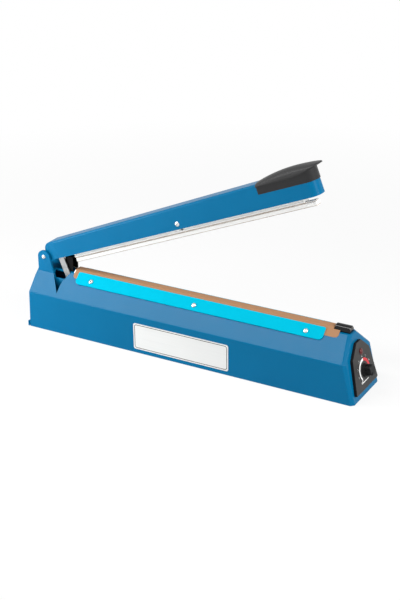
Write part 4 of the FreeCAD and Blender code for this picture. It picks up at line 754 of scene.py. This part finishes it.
# %% [markdown]
# ## Setting the screws
# The screws of a node are copies, set where the CAD model has theirs: the furthest face of each solid along
# the screw's axis is the top of its head. A driver leaves every screw at another turn, and so does the
# list of turns here. All the screws of a node are one piece, as they are in the CAD model.

# %% Set the screws
DRIVEN = [math.radians(turn) for turn in (20, 62, 41, 8, 75, 33)]
SCREW_CREASE, RIM_BAND = math.radians(35), 0.01 * MM


def add_piece(name, mesh, body, slot, replaced=()):
    """A mesh as a piece that wears the finish of a slot and rides on a body, if it is given one."""
    piece = new_object(name, mesh)
    mesh.materials.clear()
    mesh.materials.append(finishes[slot])
    if body:
        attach(piece, body)
    if replaced:
        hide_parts(*replaced)
    return piece


def loose_solids(node):
    """The vertices of each separate solid in a CAD node, as lists of places."""
    shape = bmesh.new()
    shape.from_mesh(nodes[node].data)
    bmesh.ops.remove_doubles(shape, verts=shape.verts, dist=WELD)
    met, found = set(), []
    for first in shape.verts:
        edge, group = [] if first in met else [first], []
        met.add(first)
        while edge:
            vertex = edge.pop()
            group.append(vertex.co.copy())
            near = [link.other_vert(vertex) for link in vertex.link_edges]
            near = [other for other in near if other not in met]
            met.update(near)
            edge.extend(near)
        if group:
            found.append(group)
    shape.free()
    return found


def smooth(mesh, crease):
    """Shade a mesh smooth, except at edges that bend more than the crease angle."""
    for face in mesh.polygons:
        face.use_smooth = True
    mesh.set_sharp_from_angle(angle=crease)


def set_screws(name, node, pattern, rise, axes):
    """Copies of a screw at a node's solids, along the first axis at the front and the last one behind."""
    shape = bmesh.new()
    solids = [(sum(solid, Vector()) / len(solid), solid) for solid in loose_solids(node)]
    solids.sort(key=lambda pair: (pair[0].y > 0, pair[0].x))
    for (middle, solid), spin in zip(solids, DRIVEN):
        axis = axes[0] if middle.y < 0 else axes[-1]
        highest = max(co.dot(axis) for co in solid)
        rim = [co for co in solid if co.dot(axis) > highest - RIM_BAND]
        top = sum(rim, Vector()) / len(rim)
        turn = axis.to_track_quat("Z", "X").to_matrix().to_4x4() @ Matrix.Rotation(spin, 4, "Z")
        copy = pattern.copy()
        copy.transform(Matrix.Translation(top - axis * rise) @ turn)
        shape.from_mesh(copy)
        bpy.data.meshes.remove(copy)
    mesh = mesh_of(name, shape)
    smooth(mesh, SCREW_CREASE)
    return add_piece(name, mesh, "base", slot_of[node], [node])


widest = max(nodes["front_clamp_plate"].data.polygons, key=lambda face: face.area)
slope_normal = widest.normal.copy() if widest.normal.z > 0 else -widest.normal
slope_axes = [slope_normal, Vector((slope_normal.x, -slope_normal.y, slope_normal.z))]
clamp_heads = set_screws("clamp_screw_heads", "clamp_screws", clamp_screw, CLAMP_RISE, slope_axes)
tray_heads = set_screws("tray_screw_heads", "tray_screws", tray_screw, TRAY_RISE, [Vector((0, 0, -1))])
for piece in (clamp_heads, tray_heads):
    print(piece.name, len(piece.data.polygons), "faces")

# %% [markdown]
# ## The cloth over the heating strip
# The cover is a plain strip of cloth, folded over the ridge and held along both slopes under the clamp
# plates. A simulation would only settle it into the same place, so it is made from a section that
# runs up one slope, over a soft fold, across the top and down the other side. Between the folds it is never
# quite flat, so low ripples from a few sines cross it.

# %% Draw the cloth's section
COVER_LOW, COVER_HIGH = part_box("slip_cover")
CLOTH_SHEET, FOLD_SOFT = 0.3 * MM, 0.7 * MM
RIPPLE, RIPPLE_PAST_FOLD = 0.1 * MM, 1.5 * MM
LONG_WAVE, WANDER, WANDER_REACH = 47.0, 11.0, 3.0
SHORT_WAVE, SHORT_SLANT, SHORT_SHARE = 131.0, 300.0, 0.6
slope = math.acos(slope_normal.z)
hem_y = COVER_HIGH.y - CLOTH_SHEET * math.sin(slope)
top_z = COVER_HIGH.z - CLOTH_SHEET
fold_y = hem_y - (top_z - COVER_LOW.z) / math.tan(slope)
half_width = fold_y + (hem_y - fold_y) / math.cos(slope)


def section(across):
    """Place (y, z) and outward normal of the cloth's inside, by its distance from the middle."""
    side, run = math.copysign(1, across), abs(across)
    down = run - fold_y
    lean = slope * min(1, max(0, (down + FOLD_SOFT) / (2 * FOLD_SOFT)))
    y = min(run, fold_y) + max(0, down) * math.cos(slope)
    z = top_z - max(0, down) * math.sin(slope)
    return side * y, z, Vector((0, side * math.sin(lean), math.cos(lean)))


def ripple(x, across):
    """How far the cloth stands off the ridge: low waves on top, none where it is clamped."""
    free = max(0, 1 - (abs(across) / (fold_y + RIPPLE_PAST_FOLD)) ** 2)
    long = math.sin(x * LONG_WAVE + WANDER_REACH * math.sin(x * WANDER))
    short = SHORT_SHARE * math.sin(x * SHORT_WAVE + across * SHORT_SLANT)
    return RIPPLE * free * (1 + 0.5 * (long + short))


print("cloth folds", round(fold_y / MM, 2), "mm from the middle and ends", round(hem_y / MM, 2), "mm out")

# %% [markdown]
# ## Cutting and folding the cloth
# The section is carried along the ridge as a grid. At the corners the outer rows are drawn in along an arc,
# and round the barrel the faces are left out. A modifier then gives the grid the thickness of the cloth.

# %% Fold the cloth
CORNER = 5.0 * MM
NOTCH_HALF_WIDTH, NOTCH_GAP = 7.15 * MM, 0.4 * MM
THREAD_SHARE = 0.8
ALONG_STEP, ACROSS_STEP = 3.0 * MM, 0.8 * MM
CLOTH_WELD, CLOTH_CREASE = 0.01 * MM, math.radians(50)


def spread(low, high, step, stops=()):
    """Even places from low to high about a step apart, with each stop among them."""
    marks = sorted([low, high, *stops])
    places = []
    for start, end in zip(marks, marks[1:]):
        count = max(1, round((end - start) / step))
        places += [start + (end - start) * i / count for i in range(count)]
    return places + [high]


def mend(shape, weld):
    """Join what lies closer than weld, take out what that leaves flat and face everything outward."""
    bmesh.ops.remove_doubles(shape, verts=shape.verts, dist=weld)
    bmesh.ops.dissolve_degenerate(shape, edges=shape.edges, dist=weld)
    bmesh.ops.recalc_face_normals(shape, faces=shape.faces)


def fold_cloth():
    """The cloth's inside as a grid with round corners and a notch for the barrel at its right end."""
    notch_across = fold_y + (NOTCH_HALF_WIDTH - fold_y) / math.cos(slope)
    notch_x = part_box("stop_barrel")[0].x - NOTCH_GAP
    stops = [notch_x, COVER_LOW.x + CORNER, COVER_HIGH.x - CORNER]
    columns = spread(COVER_LOW.x, COVER_HIGH.x, ALONG_STEP, stops)
    rows = spread(-half_width, half_width, ACROSS_STEP, [-notch_across, -fold_y, fold_y, notch_across])
    shape = bmesh.new()
    grid = {}
    for i, x in enumerate(columns):
        for j, across in enumerate(rows):
            y, z, normal = section(across)
            past = max(0, abs(across) - (half_width - CORNER))
            inset = CORNER - math.sqrt(max(0, CORNER ** 2 - past ** 2))
            kept_x = min(max(x, COVER_LOW.x + inset), COVER_HIGH.x - inset)
            grid[i, j] = shape.verts.new(Vector((kept_x, y, z)) + normal * ripple(kept_x, across))
    for i, x in enumerate(columns[:-1]):
        for j, across in enumerate(rows[:-1]):
            in_notch = x > notch_x - CLOTH_WELD and abs(across + rows[j + 1]) / 2 < notch_across
            if not in_notch:
                shape.faces.new((grid[i, j], grid[i + 1, j], grid[i + 1, j + 1], grid[i, j + 1]))
    bmesh.ops.delete(shape, geom=[v for v in shape.verts if not v.link_faces], context="VERTS")
    mend(shape, CLOTH_WELD)
    return shape


def thickened(name, shape, sheet):
    """The mesh of an open surface made as thick as a sheet, outward."""
    surface = as_object(name, shape)
    thicken = surface.modifiers.new("sheet", "SOLIDIFY")
    thicken.thickness, thicken.offset = sheet, 1.0
    return baked(surface)


cover_mesh = thickened("folded_cloth", fold_cloth(), CLOTH_SHEET * THREAD_SHARE)
smooth(cover_mesh, CLOTH_CREASE)
cover = add_piece("cloth_cover", cover_mesh, "base", "cover_cloth", ["slip_cover"])

# %% [markdown]
# ## The tape under the heating strip
# Between the rail and the hot ribbon lies a narrow tape of the same cloth, stuck down flat. It is a plain
# grid with hardly a ripple, thickened like the cover.

# %% Lay the tape
TAPE_LOW, TAPE_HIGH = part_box("rail_tape")
TAPE_RIPPLE, TAPE_WAVE, TAPE_SLANT = 0.02 * MM, 90.0, 200.0


def skin(shape, rows):
    """Faces between neighbouring rows of vertices."""
    for left, right in zip(rows, rows[1:]):
        for corners in zip(left, right, right[1:], left[1:]):
            shape.faces.new(corners)


def lay_tape():
    """The tape's underside as a grid with low slanting waves."""
    shape = bmesh.new()
    columns = spread(TAPE_LOW.x, TAPE_HIGH.x, ALONG_STEP)
    rows = spread(TAPE_LOW.y, TAPE_HIGH.y, ACROSS_STEP)
    height = lambda x, y: TAPE_LOW.z + TAPE_RIPPLE * (1 + math.sin(x * TAPE_WAVE + y * TAPE_SLANT))
    skin(shape, [[shape.verts.new((x, y, height(x, y))) for y in rows] for x in columns])
    return shape


tape_mesh = thickened("laid_tape", lay_tape(), TAPE_HIGH.z - TAPE_LOW.z - 2 * TAPE_RIPPLE)
tape_strip = add_piece("cloth_tape", tape_mesh, "base", "tape_cloth", ["rail_tape"])

# %% [markdown]
# ## The hinge spring
# The hinge spring is a coil of wire on the hinge pin: one leg stands on the base and the other lifts the
# arm. When the arm comes down the coil winds up, so a rigid copy would be cut by the arm. Here the wire is
# a curve with a round section, read off the CAD solid, and the piece rides on no body.

# %% Wind the hinge spring
COIL_TURNS, COIL_STEPS, WIRE_ROUNDNESS = 2, 28, 4
COIL_TIP, COIL_FOOT = 3.0 * MM, 0.01 * MM


def from_hinge(node):
    """The vertices of a CAD node, as places measured from the hinge."""
    return [v.co - HINGE for v in nodes[node].data.vertices]


def hinge_wire():
    """Points along the hinge spring's wire, and the wire's thickness, read off the CAD solid."""
    solid = from_hinge("hinge_spring")
    spoke = lambda co: math.hypot(co.x, co.z)
    farthest, lowest = max(map(spoke, solid)), min(co.z for co in solid)
    tip = [co for co in solid if spoke(co) > farthest - COIL_TIP]
    foot = [co for co in solid if co.z < lowest + COIL_FOOT]
    wire = max(co.y for co in foot) - min(co.y for co in foot)
    radius = min(map(spoke, solid)) + wire / 2
    tip, foot = sum(tip, Vector()) / len(tip), sum(foot, Vector()) / len(foot)
    start = math.atan2(tip.z, tip.x) + math.acos(radius / spoke(tip))
    total = math.pi + 2 * math.pi * COIL_TURNS - start
    points = [tip]
    for i in range(COIL_STEPS * COIL_TURNS + 1):
        share = i / (COIL_STEPS * COIL_TURNS)
        turn, y = start + total * share, tip.y + (foot.y - tip.y) * share
        points.append(Vector((radius * math.cos(turn), y, radius * math.sin(turn))))
    return [HINGE + point for point in points + [foot]], wire


def wire_mesh(points, thickness):
    """A round wire along points."""
    line = bpy.data.curves.new("wire", "CURVE")
    line.dimensions, line.use_fill_caps = "3D", True
    line.bevel_depth, line.bevel_resolution = thickness / 2, WIRE_ROUNDNESS
    spline = line.splines.new("POLY")
    spline.points.add(len(points) - 1)
    for point, place in zip(spline.points, points):
        point.co = (*place, 1)
    return baked(new_object("wire", line))


coil_points, coil_wire = hinge_wire()
coil = add_piece("hinge_coil", wire_mesh(coil_points, coil_wire), None, "spring_steel", ["hinge_spring"])
inner = abs(coil_points[0].y) - coil_wire / 2
-inner
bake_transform(coil)
print("hinge wire", round(coil_wire / MM, 2), "mm")

# %% [markdown]
# ## The leaves over the bar
# The two leaves over the press bar are bent strips of spring steel. The bar pushes them flat against the
# arm's roof as it slides, but here each one rides on the arm as drawn. A leaf is drawn as a bow between two
# flat toes, in the directions of the arm, and thickened like the cloth.

# %% Bend the leaves
ARM_ALONG = Vector((PRESS_SLIDE.z, 0, -PRESS_SLIDE.x))
LEAF_TOE, LEAF_SHEET, LEAF_STEPS = 8.0 * MM, 0.8 * MM, 36
SLIDE = joints["press_bar_float"]["range_m"][1]


def extent(solid, axis):
    """Where a solid starts and ends along an axis."""
    along = [co.dot(axis) for co in solid]
    return min(along), max(along)


def on_arm(u, y, w):
    """The place that lies u along the arm from the hinge, y across it and w along the bar's slide."""
    return HINGE + ARM_ALONG * u + PRESS_SLIDE * w + Vector((0, y, 0))


def leaf_mesh(node):
    """A bowed strip with flat toes in the box of a CAD leaf, its top along the slide and its height."""
    solid = from_hinge(node)
    start, end = extent(solid, ARM_ALONG)
    low, high = extent(solid, PRESS_SLIDE)
    edge = max(co.y for co in solid)
    span, rise = (end - start) / 2 - LEAF_TOE, high - low - LEAF_SHEET
    radius = (span ** 2 + rise ** 2) / (2 * rise)
    bow = math.asin(span / radius)
    middle = (start + end) / 2
    line = [(start, low)]
    for i in range(LEAF_STEPS + 1):
        turn = bow * (2 * i / LEAF_STEPS - 1)
        line.append((middle + radius * math.sin(turn), low + rise - radius * (1 - math.cos(turn))))
    line.append((end, low))
    shape = bmesh.new()
    skin(shape, [[shape.verts.new(on_arm(u, y, w)) for y in (-edge, edge)] for u, w in line])
    return thickened("leaf", shape, LEAF_SHEET), high, high - low


for side in ("left", "right"):
    mesh, roof, height = leaf_mesh("press_spring_" + side)
    leaf = add_piece("press_leaf_" + side, mesh, "arm", "spring_steel", ["press_spring_" + side])
    tuple(HINGE + PRESS_SLIDE * roof)
    (height - SLIDE) / height
    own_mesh(leaf)
    print(leaf.name, "is", round(height / MM, 1), "mm high and flattens by", round(SLIDE / MM, 1))

# %% [markdown]
# ## The bar's end tabs
# The press bar is a folded channel. At each end a tab of the same sheet is turned up inside it, so the
# ends are closed and the soft strip can't creep out. In CAD it would be one more bend. Here it is a small
# plate between the channel's walls, a hair clear of them, that rides with the bar.

# %% Close the bar's ends
TAB_SHEET, TAB_CLEAR, BAR_FLOOR, BAR_WALL, TAB_TOP = 1.2 * MM, 0.05 * MM, 1.4 * MM, 1.5 * MM, -2.0 * MM


def slab(shape, corner_place):
    """A box in shape. corner_place gives a corner its place from three shares that are each 0 or 1."""
    for corner in bmesh.ops.create_cube(shape, size=1.0)["verts"]:
        corner.co = corner_place(*(share + 0.5 for share in corner.co))


def end_tabs():
    """One mesh with a plate just inside each end of the press bar."""
    solid = from_hinge("press_bar")
    first, last = extent(solid, ARM_ALONG)
    low = extent(solid, PRESS_SLIDE)[0] + BAR_FLOOR + TAB_CLEAR
    half = max(co.y for co in solid) - BAR_WALL - TAB_CLEAR
    shape = bmesh.new()
    for start in (first + TAB_CLEAR, last - TAB_SHEET - TAB_CLEAR):
        slab(shape, lambda u, y, w: on_arm(start + u * TAB_SHEET, (2 * y - 1) * half,
                                           low + w * (TAB_TOP - low)))
    return mesh_of("end_tabs", shape)


tabs = add_piece("bar_end_tabs", end_tabs(), "press_bar", "bar_white")
print("end tabs", len(tabs.data.polygons), "faces")

# %% [markdown]
# ## The shields behind the notches
# Beside each hinge ear the slope is notched, so that the arm's leg can swing. In the lower part of the
# notch one looks onto blue and not into the housing, so a steep plate stands there in the ear's paint, with
# its foot farther out than its head. It is a leaning box on each side, kept clear of the ear and of the leg.

# %% Stand the shields up
SHIELD_START, SHIELD_LENGTH = HINGE.x + 10.0 * MM, 37.0 * MM
SHIELD_INSIDE, SHIELD_SHEET, SHIELD_LEAN = 15.2 * MM, 1.0 * MM, 7.0 * MM
SHIELD_FOOT, SHIELD_HEIGHT = 42.0 * MM, 30.4 * MM


def shield_corner(side, x, y, z):
    """A corner of the shield at the front, for side -1, or at the back, for 1, from its shares."""
    out = SHIELD_INSIDE + y * SHIELD_SHEET + (1 - z) * SHIELD_LEAN
    return Vector((SHIELD_START + x * SHIELD_LENGTH, side * out, SHIELD_FOOT + z * SHIELD_HEIGHT))


shields = bmesh.new()
for side in (-1, 1):
    slab(shields, lambda x, y, z: shield_corner(side, x, y, z))
bmesh.ops.recalc_face_normals(shields, faces=shields.faces)
shield = add_piece("notch_shields", mesh_of("notch_shields", shields), "base", slot_of["hinge_bracket"])
print("shields", len(shield.data.polygons), "faces in", slot_of["hinge_bracket"])

# %% [markdown]
# ## The handle
# The handle is a moulded cap pushed over the arm's end. Its back is domed like a shell and runs out into a
# lip for the hand, and where the dome meets the skirt a thin rim stands proud and throws a dark line. A
# subdivided box would round that rim away, so the cap is drawn as rings: every ring follows the same
# stations along the cap and round its nose, first on the rim, then under it, down the skirt and back up
# inside against the arm.

# %% Draw the handle's rings
CAP = from_hinge("handle_cap")
CAP_START, CAP_TIP = extent(CAP, ARM_ALONG)
CAP_LOW = extent(CAP, PRESS_SLIDE)[0]
CAP_HALF = max(co.y for co in CAP)
LIP, NOSE_REACH, RIM_ROUND = 9.0 * MM, 12.8 * MM, 16.0 * MM
RIM_Z, RIM_LIFT, RIM_SWEEP, RIM_SHEET, RIM_PROUD = 23.0 * MM, 7.9 * MM, 1.6, 1.0 * MM, 1.7 * MM
CREST_START, CREST_TIP, CREST_BULGE = 27.0 * MM, 31.6 * MM, 4.8 * MM
ARM_HALF, ARM_EDGE, ARM_ROOF_SHARE = 13.05 * MM, 3.0 * MM, 0.78
ARM_TAIL_TOP, ARM_NOSE_TOP, ARM_REACH = 17.7 * MM, 27.3 * MM, 449.0 * MM
SIDE_STEPS, NOSE_STEPS = 30, 18


def cap_share(u):
    """How far u lies along the cap, from 0 at its open end to 1 at its tip."""
    return (u - CAP_START) / (CAP_TIP - CAP_START)


def rim_height(u):
    """The rim is level along the arm and sweeps up into the lip."""
    return RIM_Z + RIM_LIFT * max(0, 2 * cap_share(u) - 1) ** RIM_SWEEP


def crest_height(u):
    """The crest climbs to the tip and bulges above its chord, most in the middle."""
    share = cap_share(u)
    return CREST_START + (CREST_TIP - CREST_START) * share + 4 * CREST_BULGE * share * (1 - share)


def cap_plan(half, reach, end):
    """Stations (u, y) from the cap's open end along one side and round its nose."""
    turn_at = end - reach
    side = [(CAP_START + (turn_at - CAP_START) * i / SIDE_STEPS, half) for i in range(SIDE_STEPS)]
    nose = [(i / NOSE_STEPS) * math.pi / 2 for i in range(NOSE_STEPS + 1)]
    return side + [(turn_at + reach * math.sin(t), half * math.cos(t)) for t in nose]


def cap_rings():
    """The rings of one side as lists of (u, y, w), from the rim round to the roof over the arm."""
    nose = CAP_TIP - LIP
    rim = cap_plan(CAP_HALF, RIM_ROUND, CAP_TIP)
    skirt = cap_plan(CAP_HALF - RIM_PROUD, NOSE_REACH, nose)
    inside = cap_plan(ARM_HALF, NOSE_REACH - CAP_HALF + ARM_HALF, nose - CAP_HALF + ARM_HALF)
    arm_top = lambda u: ARM_TAIL_TOP + (ARM_NOSE_TOP - ARM_TAIL_TOP) * u / ARM_REACH
    return [[(u, y, rim_height(u)) for u, y in rim],
            [(u, y, rim_height(u) - RIM_SHEET) for u, y in rim],
            [(u, y, rim_height(u) - RIM_SHEET) for u, y in skirt],
            [(u, y, CAP_LOW) for u, y in skirt],
            [(u, y, CAP_LOW) for u, y in inside],
            [(u, y, arm_top(u) - ARM_EDGE) for u, y in inside],
            [(u, y * ARM_ROOF_SHARE, arm_top(u)) for u, y in inside]]


print("handle", round((CAP_TIP - CAP_START) / MM, 1), "mm long,", len(cap_rings()), "rings on each side")

# %% [markdown]
# ## Skinning the handle
# Faces between neighbouring rings make the rim, the skirt and the inside, and arches from rim to rim make
# the dome. A small bevel then breaks the sharp edges, as a mould must.

# %% Skin the handle
DOME_STEPS = 28
CAP_WELD, CAP_CREASE = 0.005 * MM, math.radians(42)
EDGE_BREAK, EDGE_ANGLE = 0.35 * MM, math.radians(40)


def shape_cap():
    """The cap as one closed surface: dome, rim, skirt, inside and the face at its open end."""
    shape = bmesh.new()
    vertex = lambda u, y, w: shape.verts.new(on_arm(u, y, w))
    rings = cap_rings()
    near, far = ([[vertex(u, side * y, w) for u, y, w in ring] for ring in rings] for side in (-1, 1))
    arcs = [math.pi * (j / DOME_STEPS - 0.5) for j in range(1, DOME_STEPS)]
    dome = []
    for (u, y, rim), first, last in zip(rings[0], near[0], far[0]):
        rise = crest_height(u) - rim
        arch = [vertex(u, y * math.sin(turn), rim + rise * math.cos(turn)) for turn in arcs]
        dome.append([first, *arch, last])
    for rows in (dome, list(zip(*near)), list(zip(*far)), list(zip(near[-1], far[-1]))):
        skin(shape, rows)
    shape.faces.new([ring[0] for ring in reversed(near)] + dome[0][1:-1] + [ring[0] for ring in far])
    mend(shape, CAP_WELD)
    return shape


cap = as_object("cap", shape_cap())
soften = cap.modifiers.new("soften", "BEVEL")
soften.width, soften.segments = EDGE_BREAK, 2
soften.limit_method, soften.angle_limit = "ANGLE", EDGE_ANGLE
cap_mesh = baked(cap)
smooth(cap_mesh, CAP_CREASE)
add_piece("handle_grip", cap_mesh, "arm", "handle_black", ["handle_cap"])
print("handle grip", len(cap_mesh.polygons), "faces")

# %% [markdown]
# ## The dial's numbers
# The scale is numbered from 0 to 8. Blender's own letter shapes, filled and given the thickness of a coat
# of ink, sit on the panel's face just outside the band and stand upright, as printed numbers do. The model
# names no slot for ink, so they go under the plate's slot but wear a white finish of their own.

# %% Number the dial
NUMBER_RADIUS, NUMBER_SIZE, INK_RISE = 18.6 * MM, 3.8 * MM, 0.06 * MM


def white_ink():
    """Ink that lies a little unevenly, so it is speckled."""
    material, shader, place = new_finish("white_ink", {"Specular IOR Level": 0.4})
    speck = place.noise(1500.0)
    wear(shader, colour=speck.between(shade(214, 214, 212), shade(234, 234, 232)),
         roughness=speck.ranged(0.4, 0.6))
    return material


def printed_number(text, angle):
    """One number, filled and a coat of ink thick, upright on the panel at an angle round the dial."""
    letters = bpy.data.curves.new("number", "FONT")
    letters.body, letters.size, letters.extrude = text, NUMBER_SIZE, INK_RISE / 2
    letters.align_x, letters.align_y = "CENTER", "CENTER"
    mesh = baked(new_object("number", letters))
    spot = (DIAL_PLACE + DIAL_OUT * (PANEL_FACE + INK_RISE / 2)
            + (DIAL_RIGHT * math.cos(angle) + DIAL_UP * math.sin(angle)) * NUMBER_RADIUS)
    mesh.transform(frame_matrix(DIAL_RIGHT, DIAL_UP, DIAL_OUT, spot))
    return mesh


numbers = bmesh.new()
for step in range(SCALE_STEPS + 1):
    numbers.from_mesh(printed_number(str(step), SCALE_START - SCALE_SWEEP * step / SCALE_STEPS))
number_mesh = mesh_of("dial_numbers", numbers)
add_piece("dial_numbers", number_mesh, "base", "label_silver")
number_mesh.materials[0] = white_ink()
print("numbers", SCALE_STEPS + 1)

# %% [markdown]
# The finished model must be no larger than the CAD model.
